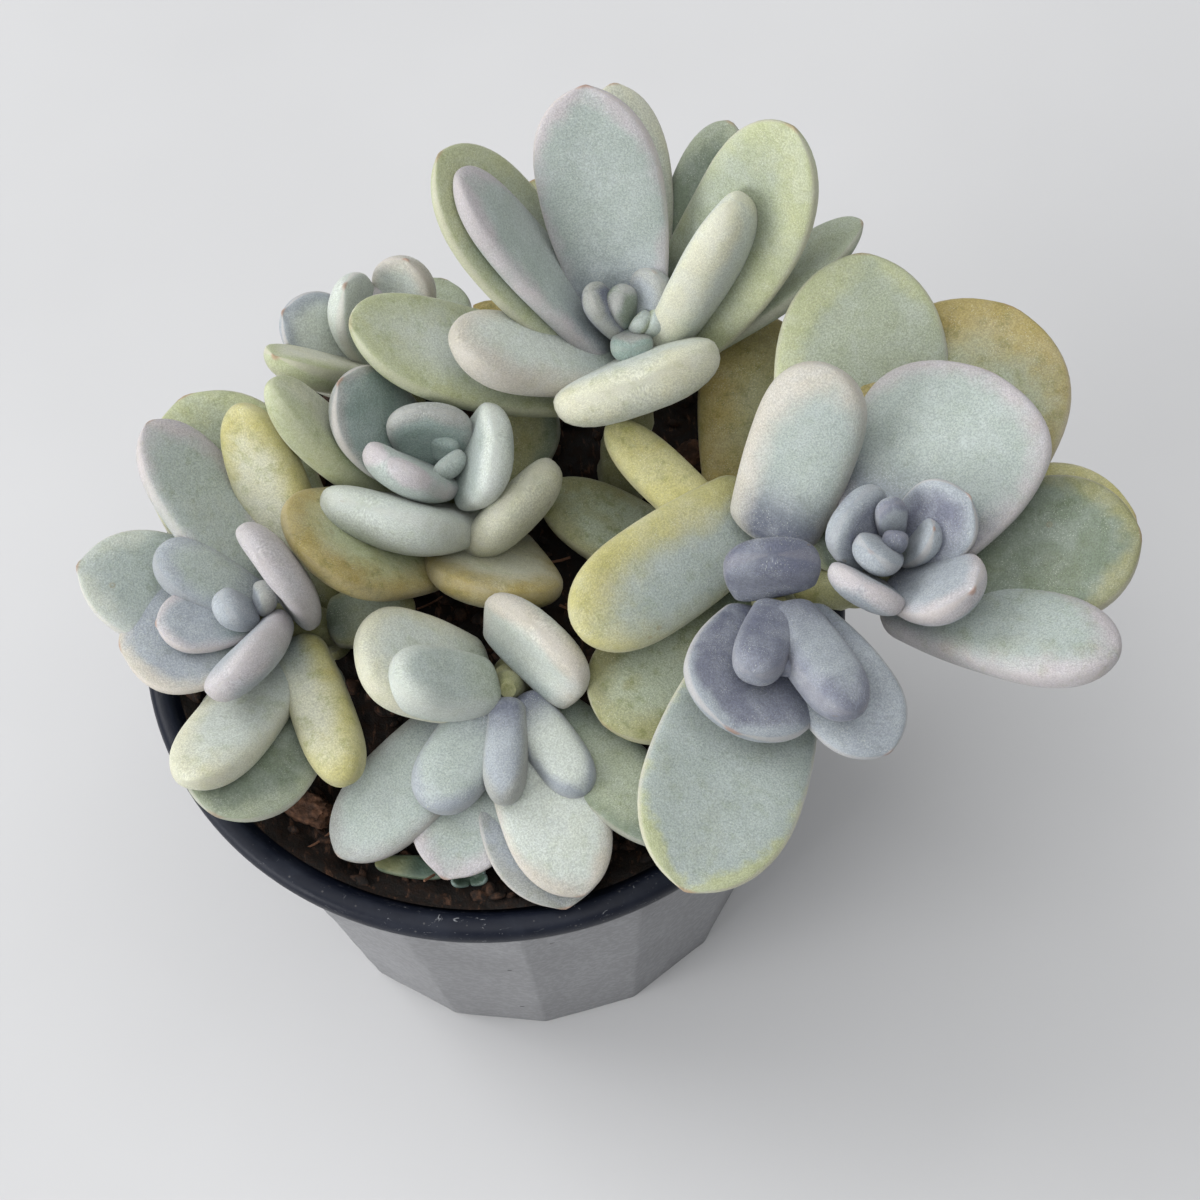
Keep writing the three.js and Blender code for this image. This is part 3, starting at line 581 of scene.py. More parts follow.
class Finish:
    """A material and its nodes, built one node at a time."""

    def __init__(self, name):
        self.material = bpy.data.materials.new(name)
        self.material.use_nodes = True
        self.nodes = self.material.node_tree.nodes
        self.links = self.material.node_tree.links
        self.shader = self.nodes["Principled BSDF"]
        self.place = self.nodes.new("ShaderNodeTexCoord").outputs["Object"]

    def plug(self, socket, value):
        """Links a socket to an output, or sets its value."""
        if isinstance(value, bpy.types.NodeSocket):
            self.links.new(value, socket)
        else:
            socket.default_value = value

    def attribute(self, name, output="Vector"):
        """A value that the mesh stores for each vertex."""
        node = self.nodes.new("ShaderNodeAttribute")
        node.attribute_name = name
        return node.outputs[output]

    def part(self, vector, axis):
        """One axis of a vector."""
        node = self.nodes.new("ShaderNodeSeparateXYZ")
        self.links.new(vector, node.inputs[0])
        return node.outputs[axis]

    def stretched(self, vector, scale, turn=(0, 0, 0)):
        """A vector scaled along its axes, so that a pattern runs long or short."""
        node = self.nodes.new("ShaderNodeMapping")
        self.links.new(vector, node.inputs["Vector"])
        node.inputs["Scale"].default_value = scale
        node.inputs["Rotation"].default_value = turn
        return node.outputs[0]

    def grain(self, vector, scale, detail=3.0, roughness=0.55, warp=0.0):
        """Smooth noise from 0 to 1."""
        node = self.nodes.new("ShaderNodeTexNoise")
        self.links.new(vector, node.inputs["Vector"])
        node.inputs["Scale"].default_value = scale
        node.inputs["Detail"].default_value = detail
        node.inputs["Roughness"].default_value = roughness
        node.inputs["Distortion"].default_value = warp
        return node.outputs["Fac"]

    def cells(self, vector, scale, output="Distance"):
        """Scattered cells: the distance to the nearest centre, or a colour for each."""
        node = self.nodes.new("ShaderNodeTexVoronoi")
        self.links.new(vector, node.inputs["Vector"])
        node.inputs["Scale"].default_value = scale
        return node.outputs[output]

    def between(self, value, low, high, start=0.0, end=1.0):
        """Eases from start to end as the value passes from low to high."""
        node = self.nodes.new("ShaderNodeMapRange")
        node.interpolation_type = "SMOOTHSTEP"
        self.plug(node.inputs["Value"], value)
        self.plug(node.inputs["From Min"], low)
        self.plug(node.inputs["From Max"], high)
        node.inputs["To Min"].default_value = start
        node.inputs["To Max"].default_value = end
        return node.outputs["Result"]

    def sum(self, kind, first, second, third=None):
        """Arithmetic on values."""
        node = self.nodes.new("ShaderNodeMath")
        node.operation = kind
        self.plug(node.inputs[0], first)
        self.plug(node.inputs[1], second)
        if third is not None:
            self.plug(node.inputs[2], third)
        return node.outputs[0]

    def blend(self, share, first, second, kind="MIX"):
        """Blends two colours."""
        node = self.nodes.new("ShaderNodeMix")
        node.data_type = "RGBA"
        node.blend_type = kind
        self.plug(node.inputs["Factor"], share)
        self.plug(node.inputs["A"], first)
        self.plug(node.inputs["B"], second)
        return node.outputs["Result"]

    def relief(self, height, distance, strength=1.0, under=None):
        """Fine relief that the light shows, over any relief under it."""
        node = self.nodes.new("ShaderNodeBump")
        node.inputs["Strength"].default_value = strength
        node.inputs["Distance"].default_value = distance
        self.links.new(height, node.inputs["Height"])
        if under is not None:
            self.links.new(under, node.inputs["Normal"])
        return node.outputs[0]

    def finish(self, colour, roughness, normal=None, **settings):
        """Sets what the shader shows."""
        self.plug(self.shader.inputs["Base Color"], colour)
        self.plug(self.shader.inputs["Roughness"], roughness)
        if normal is not None:
            self.links.new(normal, self.shader.inputs["Normal"])
        for socket, value in settings.items():
            self.shader.inputs[socket.replace("_", " ")].default_value = value
        return self.material


def rgba(colour, shade=1.0):
    """A colour with full cover, made lighter or darker by the shade."""
    return (colour[0] * shade, colour[1] * shade, colour[2] * shade, 1.0)


def leaf_form(blunt):
    """The shares and powers of a leaf's shape at its bluntness."""
    shape = bpy.context.scene.succulent_leaf
    return {share: getattr(shape, share) + added_share * blunt for share, added_share in BLUNT.items()}


def leaf_outline(along, form):
    """Half width and half thickness of a leaf as shares of the largest."""
    along = np.clip(along, 0, 1)
    found = []
    sizes = (("base_width", "widest", "tip_bend"), ("base_thickness", "thickest", "thin_bend"))
    for base, middle, bend in sizes:
        low = np.minimum(along / form[middle], 1)
        high = np.maximum((along - form[middle]) / (1 - form[middle]), 0)
        swell = form[base] + (1 - form[base]) * np.sin(low * math.pi / 2)
        taper = (1 - high ** form[bend]) ** form["tip_round"]
        found.append(np.where(along < form[middle], swell, taper))
    return found


def model_leaf_pattern():
    """Models the pattern of all leaves, 1 long, 1 wide and 2 thick: a sphere with its rings resized."""
    shape, form = bpy.context.scene.succulent_leaf, leaf_form(0)
    deselect_all()
    bpy.ops.mesh.primitive_uv_sphere_add(
        segments=shape.sides, ring_count=shape.rings, radius=0.5, location=(0, 0, 0.5))
    leaf = added("leaf_pattern")
    bpy.ops.object.mode_set(mode="EDIT")
    for ring in range(1, shape.rings):
        turn = math.pi * ring / shape.rings
        height = (1 - math.cos(turn)) / 2
        width, thickness = leaf_outline(height, form)
        select_in_edit(leaf, lambda co: abs(co.z - height) < 1e-4)
        bpy.ops.transform.resize(
            value=(width / math.sin(turn), 2 * thickness / math.sin(turn), 1),
            center_override=(0, 0, height))
    bpy.ops.object.mode_set(mode="OBJECT")
    return leaf


def model_stem_pattern():
    """Models the pattern of all stems, 1 long and 1 in radius: a ringed column with old leaf scars."""
    deselect_all()
    bpy.ops.mesh.primitive_cylinder_add(
        vertices=20, radius=1, depth=1, location=(0, 0, 0.5), end_fill_type="TRIFAN")
    stem = added("stem_pattern")
    bpy.ops.object.mode_set(mode="EDIT")
    cuts = 27
    for cut in range(1, cuts):
        bpy.ops.mesh.select_all(action="SELECT")
        bpy.ops.mesh.bisect(plane_co=(0, 0, cut / cuts), plane_no=(0, 0, 1))
    for cut in range(1, cuts):
        swell = (1.07, 0.96, 1.02)[cut % 3]
        select_in_edit(stem, lambda co: abs(co.z - cut / cuts) < 1e-4)
        bpy.ops.transform.resize(value=(swell, swell, 1), center_override=(0, 0, cut / cuts))
    bpy.ops.object.mode_set(mode="OBJECT")
    return stem


def lean_axis(lean):
    """The way that a head's axis points."""
    tip, side = math.radians(lean[0]), math.radians(lean[1])
    return Vector((math.sin(tip) * math.cos(side), math.sin(tip) * math.sin(side), math.cos(tip)))


def leaf_root(crown, low, aim):
    """Where a leaf leaves its stem, in millimetres: nearer to the axis the nearer it is to the heart."""
    axis = lean_axis(crown["lean"])
    out = Vector((math.cos(math.radians(aim)), math.sin(math.radians(aim)), 0))
    out = (out - axis * out.dot(axis)).normalized()
    return Vector(crown["heart"]) - axis * low + out * min(crown["core"], 0.3 * low + 0.8)


def share_across(place, half, corner):
    """How far a vertex lies from the middle to the edge, from -1 to 1, drawn out at the corners."""
    share = np.clip(np.where(half > TINY, place / np.maximum(half, TINY), 0), -1, 1)
    return np.sign(share) * np.abs(share) ** corner


def leaf_spine(along, aim, rise, length, curl):
    """The bent middle line of a leaf from its root, and the way that it heads at each place."""
    steps = np.linspace(0, 1, SPINE_STEPS + 1)
    middle = (steps[1:] + steps[:-1]) / 2
    bend = np.radians(rise + curl * (middle - 0.5))
    reach = np.concatenate([[0], np.cumsum(np.cos(bend))]) * length / SPINE_STEPS
    climb = np.concatenate([[0], np.cumsum(np.sin(bend))]) * length / SPINE_STEPS
    out, high = np.interp(along, steps, reach), np.interp(along, steps, climb)
    slope = np.radians(rise + curl * (along - 0.5))
    spine = np.stack([out * math.cos(aim), out * math.sin(aim), high], 1)
    heading = np.stack([np.cos(slope) * math.cos(aim), np.cos(slope) * math.sin(aim), np.sin(slope)], 1)
    return spine, heading


def leaf_waves(span, along, length, width, seed):
    """Soft waves in the skin, which differ from leaf to leaf."""
    xs = span * width / WAVE_ACROSS + seed * WAVE_STEP
    ys = along * length / WAVE_ALONG
    return np.array([noise.noise(Vector((x, y, seed * WAVE_LAYER))) for x, y in zip(xs, ys)])


def leaf_places(pattern, root, aim, rise, length, width, thickness, curl, roll, blunt, seed):
    """Places of the pattern's vertices on a leaf in millimetres, and what its material reads there."""
    across, up, along = pattern.T
    shape, form = bpy.context.scene.succulent_leaf, leaf_form(blunt)
    half, full = leaf_outline(along, leaf_form(0))
    span = share_across(across * 2, half, form["corner"])
    lift = share_across(up, full, form["corner"])
    closing = np.sqrt(1 - np.clip(1 - along / shape.root_end, 0, 1) ** 2)
    half, full = (size * closing for size in leaf_outline(along, form))
    aim, roll = math.radians(aim), math.radians(roll)
    spine, heading = leaf_spine(along, aim, rise, length, curl)
    level = np.array([-math.sin(aim), math.cos(aim), 0])
    upward = np.cross(heading, level)
    side = level * math.cos(roll) + upward * math.sin(roll)
    face = upward * math.cos(roll) - level * math.sin(roll)
    grown = min(1, length / SMALL_LEAF)
    out = span * half * width / 2
    raised = np.where(lift > 0, form["upper"], 1 - form["upper"]) * thickness * full * lift
    raised = raised + form["cup"] * width * half * (span ** 2 - CUP_LEVEL)
    raised = raised + leaf_waves(span, along, length, width, seed) * shape.dents / MM * grown
    tip = np.clip((along - POINT_START) / (1 - POINT_START), 0, 1) ** 2
    point = tip * shape.point / MM * max(0, POINT_BLUNT - blunt) * grown
    points = np.array(root) + spine + side * out[:, None] + face * raised[:, None]
    points = points + heading * point[:, None]
    grain = np.stack([out, along * length, lift * thickness], 1) + seed * LEAF_GRAIN_STEP
    return points, span, grain


def add_leaf(pattern, places, crown, row, tints, seed):
    """Copies the pattern leaf to its place on a crown and stores its looks in its mesh."""
    name, low, aim, rise, length, width, thickness, curl, roll, blunt, *looks = row
    leaf = copy_of(pattern, f"leaf_{name}")
    points, span, grain = leaf_places(
        places, leaf_root(crown, low, aim), aim, rise, length, width, thickness, curl, roll, blunt, seed)
    set_points(leaf.data, points * MM)
    store_looks(leaf.data, places[:, 2], span, grain, blunt, *looks, tints)
    return leaf


def store_looks(mesh, along, span, grain, blunt, colours, blush, age, lopsided, tints):
    """Stores a leaf's tints and the place of each vertex on it."""
    count = len(mesh.vertices)
    tip = np.clip((along - TIP_START) / (1 - TIP_START), 0, 1)
    edge = np.sqrt(np.clip(np.abs(span + lopsided * 0.4), 0, 1.4) ** 2 + tip ** 2)
    set_attribute(mesh, "leaf_place", "FLOAT_VECTOR", np.stack([along, edge, np.abs(span)], 1))
    set_attribute(mesh, "leaf_grain", "FLOAT_VECTOR", grain)
    set_attribute(mesh, "leaf_looks", "FLOAT_VECTOR", np.tile((blush, age, blunt), (count, 1)))
    for part, tint in zip(("root", "body", "rim"), colours.split()):
        set_attribute(mesh, f"leaf_{part}", "FLOAT_COLOR", np.tile(rgba(getattr(tints, tint)), (count, 1)))


def path_between(start, leave, end, arrive, bend=0.5):
    """Points on a smooth path that leaves and arrives in the given directions."""
    reach = (end - start).length * bend
    for step in range(PATH_STEPS + 1):
        share = step / PATH_STEPS
        first, last = start + leave * reach, end - arrive * reach
        yield (
            start * (1 - share) ** 3 + first * 3 * share * (1 - share) ** 2
            + last * 3 * share ** 2 * (1 - share) + end * share ** 3
        )


def add_stem(pattern, places, path, radius, tints, seed):
    """Copies the pattern stem and runs it along a path in millimetres."""
    stem = copy_of(pattern, "stem")
    path = np.array([tuple(point) for point in path])
    gaps = np.linalg.norm(np.diff(path, axis=0), axis=1)
    reach = np.concatenate([[0], np.cumsum(gaps)])
    along = places[:, 2] * reach[-1]
    behind, middle, ahead = (
        np.stack([np.interp(along + shift, reach, path[:, axis]) for axis in range(3)], 1)
        for shift in (-0.5, 0, 0.5)
    )
    heading = ahead - behind
    heading /= np.linalg.norm(heading, axis=1)[:, None]
    side = np.cross(heading, (0.0, 1.0, 0.0))
    side /= np.linalg.norm(side, axis=1)[:, None]
    face = np.cross(heading, side)
    radius = radius * (1 - STEM_TAPER * places[:, 2:] ** 5)
    points = middle + side * (places[:, :1] * radius) + face * (places[:, 1:2] * radius)
    set_points(stem.data, points * MM)
    grain = places * (4, 4, reach[-1]) + seed * STEM_GRAIN_STEP
    nothing = np.zeros(len(places))
    store_looks(stem.data, nothing + 0.5, nothing, grain, 1, "bark olive bark", 0.6, 1, 0, tints)
    return stem


def stem_paths(head):
    """The path and radius of each stem of a head, in millimetres."""
    x, y, radius = head["stem"]
    first = head["crowns"][0]
    for crown in head["crowns"]:
        axis = lean_axis(crown["lean"])
        heart = Vector(crown["heart"])
        neck, top = heart - axis * STEM_NECK, heart - axis
        if crown is first:
            foot, collar = Vector((x, y, STEM_FOOT)), Vector((x, y, SOIL_TOP / MM + STEM_COLLAR))
            path = [foot] + list(path_between(collar, Vector((0, 0, 1)), neck, axis, 0.4)) + [top]
        else:
            fork = Vector(first["heart"]) - Vector((0, 0, STEM_NECK))
            path = list(path_between(fork, (neck - fork).normalized(), neck, axis, 0.3)) + [top]
            radius = BRANCH_RADIUS
        yield path, radius


def leaf_tints_and_painted_shade(make, along, edge, blush, cloud):
    """A leaf's root, body and rim tints, which run into each other with a mottled edge, and painted shade
    that darkens the leaf towards its root, where the leaves overlap.
    """
    rooted = make.between(along, 0.05, make.sum("MULTIPLY_ADD", cloud, -0.35, 0.66), 1, 0)
    colour = make.blend(rooted, make.attribute("leaf_body", "Color"), make.attribute("leaf_root", "Color"))
    patch = make.grain(make.place, 260, 5, 0.65)
    shifted = make.sum("MULTIPLY_ADD", cloud, 0.5, make.sum("SUBTRACT", edge, 0.25))
    shifted = make.sum("MULTIPLY_ADD", patch, 0.45, make.sum("SUBTRACT", shifted, 0.22))
    rimmed = make.between(shifted, make.sum("MULTIPLY_ADD", blush, -1.7, 1.0), 1.08)
    colour = make.blend(rimmed, colour, make.attribute("leaf_rim", "Color"))
    # Painted shade: the leaf darkens and cools towards its root, where the crowded leaves shade one
    # another
    shade = make.between(make.sum("MULTIPLY_ADD", cloud, 0.1, along), 0.05, 0.42, 0.62, 0.0)
    return make.blend(shade, colour, (0.50, 0.54, 0.56, 1), "MULTIPLY")


def with_worn_flesh(make, colour, age):
    """Old leaves are mottled with darker flesh where their bloom has worn off."""
    worn = make.between(make.grain(make.place, 380, 6, 0.7), 0.50, 0.66)
    worn = make.sum("MULTIPLY", worn, make.sum("MULTIPLY_ADD", age, 0.8, 0.04))
    colour = make.blend(worn, colour, (0.60, 0.64, 0.42, 1), "MULTIPLY")
    broad = make.between(make.grain(make.place, 130, 4, 0.6), 0.5, 0.68)
    broad = make.sum("MULTIPLY", broad, make.sum("MULTIPLY", age, 0.5))
    return make.blend(broad, colour, (0.82, 0.74, 0.46, 1), "MULTIPLY"), worn


def with_bloom(make, colour, age):
    """The bloom is a pale powder, thickest in soft clouds."""
    powder = make.between(make.grain(make.place, 170, 5, 0.65, 0.4), 0.36, 0.72)
    powder = make.sum("MULTIPLY", powder, make.sum("MULTIPLY_ADD", age, -0.16, 0.24))
    return make.blend(powder, colour, (0.56, 0.60, 0.62, 1))


def with_specks(make, colour, grain, skin, age):
    """Fine grain of the skin, pale specks of powder and rare dark freckles."""
    colour = make.blend(1.0, colour, make.between(skin, 0.34, 0.68, 0.78, 1.16), "MULTIPLY")
    speck = make.between(make.cells(grain, 3.4), 0.12, 0.30, 1, 0)
    crowd = make.between(make.grain(grain, 0.4, 3), 0.42, 0.62, 0.05, 0.45)
    colour = make.blend(make.sum("MULTIPLY", speck, crowd), colour, (0.74, 0.76, 0.66, 1))
    freckles = make.cells(make.stretched(grain, (1, 1, 1), (0.3, 0.6, 0.1)), 1.3)
    freckles = make.between(freckles, 0.07, 0.17, 1, 0)
    rare = make.between(make.grain(grain, 0.3, 2), 0.54, 0.64)
    freckles = make.sum("MULTIPLY", freckles, rare)
    freckles = make.sum("MULTIPLY", freckles, make.sum("MULTIPLY_ADD", age, 0.5, 0.08))
    return make.blend(freckles, colour, (0.14, 0.13, 0.06, 1))


def with_scars(make, colour, grain, age):
    """Sparse scars: a faint brown ring round a pale pit."""
    spot = make.cells(grain, 0.22)
    lot = make.part(make.cells(grain, 0.22, "Color"), "X")
    chosen = make.between(make.sum("MULTIPLY_ADD", age, 0.12, lot), 0.93, 0.95)
    ring = make.sum("MULTIPLY", make.between(spot, 0.03, 0.06), make.between(spot, 0.08, 0.15, 1, 0))
    scar = make.sum("MULTIPLY", make.sum("MULTIPLY", ring, chosen), 0.35)
    return make.blend(scar, colour, (0.25, 0.18, 0.08, 1))


def with_margin(make, colour, along, span, blunt):
    """The margin of a tapered leaf is a thin pale line, and the small point at its tip is brown."""
    tapered = make.between(blunt, 0.35, 0.75, 1, 0)
    shown = make.sum("MULTIPLY_ADD", tapered, 0.30, 0.08)
    margin = make.sum("MULTIPLY", make.between(span, 0.93, 1.0), shown)
    colour = make.blend(margin, colour, (0.60, 0.54, 0.50, 1))
    point = make.sum("MULTIPLY", make.between(along, 0.992, 1.0), make.sum("MULTIPLY", tapered, 0.7))
    return make.blend(point, colour, (0.36, 0.20, 0.13, 1))


def leaf_finish(name):
    """Fleshy leaf: powdery bloom over mottled flesh, with a blushing rim, freckles, pits and scars, and
    painted shade towards its root.
    """
    make = Finish(name)
    place, looks = make.attribute("leaf_place"), make.attribute("leaf_looks")
    grain = make.attribute("leaf_grain")
    along, edge, span = (make.part(place, axis) for axis in "XYZ")
    blush, age, blunt = (make.part(looks, axis) for axis in "XYZ")
    skin = make.grain(grain, 3.4, 3, 0.7)
    colour = leaf_tints_and_painted_shade(make, along, edge, blush, make.grain(make.place, 75, 3))
    colour, worn = with_worn_flesh(make, colour, age)
    colour = with_bloom(make, colour, age)
    colour = with_specks(make, colour, grain, skin, age)
    colour = with_scars(make, colour, grain, age)
    colour = with_margin(make, colour, along, span, blunt)
    roughness = make.between(worn, 0, 0.8, 0.60, 0.48)
    dents = make.relief(make.grain(make.place, 260, 3), 0.6 * MM, 0.35)
    normal = make.relief(skin, 0.16 * MM, 0.6, dents)
    return make.finish(
        colour, roughness, normal,
        Specular_IOR_Level=0.35, Sheen_Weight=0.12, Sheen_Roughness=0.45,
        Subsurface_Weight=0.08, Subsurface_Radius=(0.002, 0.002, 0.001), Subsurface_Scale=1.0,
    )


def wilted_finish():
    """A dropped leaf and a sprout keep the tints of their rows, with a damp skin."""
    make = Finish("damp_leaf")
    place = make.attribute("leaf_place")
    along, edge = make.part(place, "X"), make.part(place, "Y")
    cloud = make.grain(make.place, 260, 4)
    rooted = make.between(along, 0.1, 0.6, 1, 0)
    colour = make.blend(rooted, make.attribute("leaf_body", "Color"), make.attribute("leaf_root", "Color"))
    rimmed = make.between(make.sum("MULTIPLY_ADD", cloud, 0.5, edge), 0.9, 1.4)
    colour = make.blend(rimmed, colour, make.attribute("leaf_rim", "Color"))
    colour = make.blend(make.between(cloud, 0.4, 0.7), colour, (0.5, 0.55, 0.5, 1), "MULTIPLY")
    normal = make.relief(make.grain(make.attribute("leaf_grain"), 1.4, 4), 0.3 * MM, 0.6)
    return make.finish(colour, make.between(cloud, 0.3, 0.7, 0.38, 0.62), normal, Subsurface_Weight=0.05)


def cast_finish(colour):
    """Matt grey casting: soft mottling, fine pinholes darkened with painted shade, and rubbed places."""
    make = Finish("cast_grey")
    cloud = make.grain(make.place, 24, 5, 0.6)
    shade = make.between(cloud, 0.3, 0.7)
    base = make.blend(shade, rgba(colour, 0.86), rgba(colour, 1.12))
    speck = make.between(make.grain(make.place, 900, 3, 0.6), 0.42, 0.62, 0.90, 1.06)
    base = make.blend(1.0, base, speck, "MULTIPLY")
    streaks = make.between(make.grain(make.stretched(make.place, (1, 1, 0.12)), 160, 3), 0.55, 0.75)
    base = make.blend(make.sum("MULTIPLY", streaks, 0.22), base, rgba(colour, 1.45))
    hole = make.cells(make.place, 230)
    lot = make.part(make.cells(make.place, 230, "Color"), "X")
    chosen = make.between(lot, 0.90, 0.93)
    pinhole = make.sum("MULTIPLY", make.between(hole, 0.06, 0.13, 1, 0), chosen)
    # Painted shade: each pinhole is darkened as if shaded inside, and the relief below also dents it
    base = make.blend(make.sum("MULTIPLY", pinhole, 0.8), base, rgba(colour, 0.16))
    grit = make.grain(make.place, 1500, 3)
    height = make.sum("SUBTRACT", make.sum("MULTIPLY", grit, 0.25), pinhole)
    normal = make.relief(height, 0.25 * MM, 0.7)
    return make.finish(base, make.between(cloud, 0.3, 0.7, 0.62, 0.80), normal, Specular_IOR_Level=0.35)


def black_plastic_finish(colour):
    """Black moulded plastic, scuffed and dusty, with fine scratches that run round it."""
    make = Finish("black_plastic")
    cloud = make.grain(make.place, 60, 5, 0.65)
    dusty = make.between(cloud, 0.45, 0.75)
    base = make.blend(make.sum("MULTIPLY", dusty, 0.22), rgba(colour), (0.06, 0.07, 0.095, 1))
    scratch = make.between(make.grain(make.stretched(make.place, (1, 1, 5)), 480, 4, 0.7, 1.2), 0.62, 0.72)
    where = make.between(make.grain(make.place, 45, 3), 0.48, 0.66)
    scuffed = make.sum("MULTIPLY", make.sum("MULTIPLY", scratch, where), 0.7)
    base = make.blend(scuffed, base, (0.34, 0.35, 0.37, 1))
    speck = make.between(make.cells(make.place, 520), 0.05, 0.12, 0.25, 0)
    base = make.blend(speck, base, (0.24, 0.23, 0.22, 1))
    normal = make.relief(make.sum("ADD", make.grain(make.place, 700, 3), scratch), 0.10 * MM, 0.6)
    return make.finish(base, make.between(cloud, 0.3, 0.7, 0.36, 0.56), normal, Specular_IOR_Level=0.2)


def soil_finish(name, dark, light, lightness=0.5):
    """Damp potting mix or bark: dark and light bits, with a little damp shine."""
    make = Finish(name)
    bits = make.grain(make.place, 420, 6, 0.7)
    base = make.blend(make.between(bits, 0.40, 0.70), rgba(dark), rgba(light, lightness))
    fibre = make.between(make.grain(make.stretched(make.place, (1, 0.2, 1)), 900, 4, 0.7), 0.55, 0.72)
    base = make.blend(make.sum("MULTIPLY", fibre, 0.5), base, rgba(light))
    normal = make.relief(bits, 0.8 * MM, 0.9)
    return make.finish(base, make.between(bits, 0.35, 0.65, 0.7, 0.95), normal, Specular_IOR_Level=0.25)


def extrude_ring(rise, scale, level=0):
    """Extrudes the selected ring that far up, and resizes it about the axis at a level."""
    bpy.ops.mesh.extrude_region_move(TRANSFORM_OT_translate={"value": (0, 0, rise)})
    bpy.ops.transform.resize(value=(scale, scale, 1), center_override=(0, 0, level))


def turned_piece(name, profile, sides):
    """Models a round closed piece: a circle at the bottom, extruded ring by ring along a profile."""
    deselect_all()
    radius, height = profile[0]
    bpy.ops.mesh.primitive_circle_add(
        vertices=sides, radius=radius, fill_type="TRIFAN", location=(0, 0, height))
    piece = added(name)
    bpy.ops.object.mode_set(mode="EDIT")
    bpy.ops.mesh.select_all(action="DESELECT")
    shape = bmesh.from_edit_mesh(piece.data)
    for edge in shape.edges:
        edge.select = edge.is_boundary
    bmesh.update_edit_mesh(piece.data)
    for (last_radius, last_height), (radius, height) in zip(profile, profile[1:]):
        extrude_ring(height - last_height, radius / last_radius)
    bpy.ops.mesh.merge(type="CENTER")
    bpy.ops.object.mode_set(mode="OBJECT")
    outward(piece)
    return piece


def clouded(piece, name, size, strength, group=""):
    """Moves the surface of a piece in and out by soft noise, and keeps the result."""
    texture = bpy.data.textures.new(name, "CLOUDS")
    texture.noise_scale = size
    texture.noise_depth = 3
    wave = piece.modifiers.new(name, "DISPLACE")
    wave.texture = texture
    wave.texture_coords = "LOCAL"
    wave.strength = strength
    wave.mid_level = 0.5
    if group:
        wave.vertex_group = group
    apply_modifiers(piece)


class SUCCULENT_OT_cover_pot(bpy.types.Operator):
    """Models the faceted grey cover pot"""
    bl_idname = "succulent.cover_pot"
    bl_label = "Cover pot"

    def execute(self, context):
        sizes = context.scene.succulent_pots
        base, mouth, wall = sizes.cover_base, sizes.cover_mouth, sizes.cover_wall
        deselect_all()
        bpy.ops.mesh.primitive_cone_add(
            vertices=sizes.facets, radius1=base, radius2=mouth, depth=COVER_TOP,
            location=(0, 0, COVER_TOP / 2), rotation=(0, 0, sizes.first_corner - math.pi / 2))
        pot = added("cover_pot_cast")
        bpy.ops.object.mode_set(mode="EDIT")
        select_in_edit(pot, lambda co: co.z > COVER_TOP - 1e-5)
        inner = base + (mouth - base) / COVER_TOP * sizes.cover_floor - wall
        extrude_ring(0, (mouth - wall) / mouth, COVER_TOP)
        extrude_ring(sizes.cover_floor - COVER_TOP, inner / (mouth - wall), sizes.cover_floor)
        bpy.ops.object.mode_set(mode="OBJECT")
        outward(pot)
        bevel = pot.modifiers.new("Soft edges", "BEVEL")
        bevel.width = 0.5 * MM
        bevel.segments = 3
        bevel.limit_method = "ANGLE"
        bevel.angle_limit = math.radians(15)
        apply_modifiers(pot)

        # Level and upright cuts give the unevenness of the casting enough points to move
        levels, uprights = 42, 24
        bpy.ops.object.mode_set(mode="EDIT")
        for step in range(1, levels):
            bpy.ops.mesh.select_all(action="SELECT")
            bpy.ops.mesh.bisect(plane_co=(0, 0, COVER_TOP * step / levels), plane_no=(0, 0, 1))
        for step in range(uprights):
            turn = math.pi * (step + 0.5) / uprights
            bpy.ops.mesh.select_all(action="SELECT")
            bpy.ops.mesh.bisect(plane_co=(0, 0, 0), plane_no=(math.cos(turn), math.sin(turn), 0))
        bpy.ops.object.mode_set(mode="OBJECT")
        clouded(pot, "Cast unevenness", 9 * MM, 0.5 * MM)
        smooth(pot, 15)
        finish_piece(pot, cast_finish(sizes.cover_colour), "cover_pot", "cover_pot")
        return {"FINISHED"}


class SUCCULENT_OT_nursery_pot(bpy.types.Operator):
    """Models the black nursery pot with its rolled rim"""
    bl_idname = "succulent.nursery_pot"
    bl_label = "Nursery pot"

    def execute(self, context):
        sizes = context.scene.succulent_pots
        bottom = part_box("nursery_pot")[0][2]
        under = COVER_TOP + GAP
        wall, neck = sizes.nursery_wall, sizes.nursery_neck
        outer, inner = RIM_OUTER, RIM_OUTER - sizes.rim_width
        profile = [(sizes.nursery_base, bottom), (neck, COVER_TOP), (neck + RIM_FILLET, under)]
        profile += [(outer - inward * MM, under + up * MM) for inward, up in RIM_OUTSIDE]
        profile += [(outer - inward * MM, RIM_TOP - down * MM) for inward, down in RIM_SHOULDER]
        profile += [(inner + out * MM, RIM_TOP - down * MM) for out, down in RIM_INSIDE]
        profile += [(neck - wall, COVER_TOP - wall), (sizes.nursery_base - wall, bottom + wall)]
        pot = turned_piece("nursery_pot_moulded", profile, 144)
        deselect_all()
        holes, ring = 4, 22 * MM
        for hole in range(holes):
            angle = 2 * math.pi * hole / holes
            bpy.ops.mesh.primitive_cylinder_add(
                vertices=24, radius=2.5 * MM, depth=8 * MM,
                location=(ring * math.cos(angle), ring * math.sin(angle), bottom))
            cutter = added("drain_hole_cutter")
            cut = pot.modifiers.new("Drain hole", "BOOLEAN")
            cut.operation = "DIFFERENCE"
            cut.object = cutter
            apply_modifiers(pot)
            discard(cutter)
        smooth(pot, 35)
        finish = black_plastic_finish(sizes.nursery_colour)
        finish_piece(pot, finish, "nursery_pot", "nursery_pot", "nursery_rim")
        return {"FINISHED"}


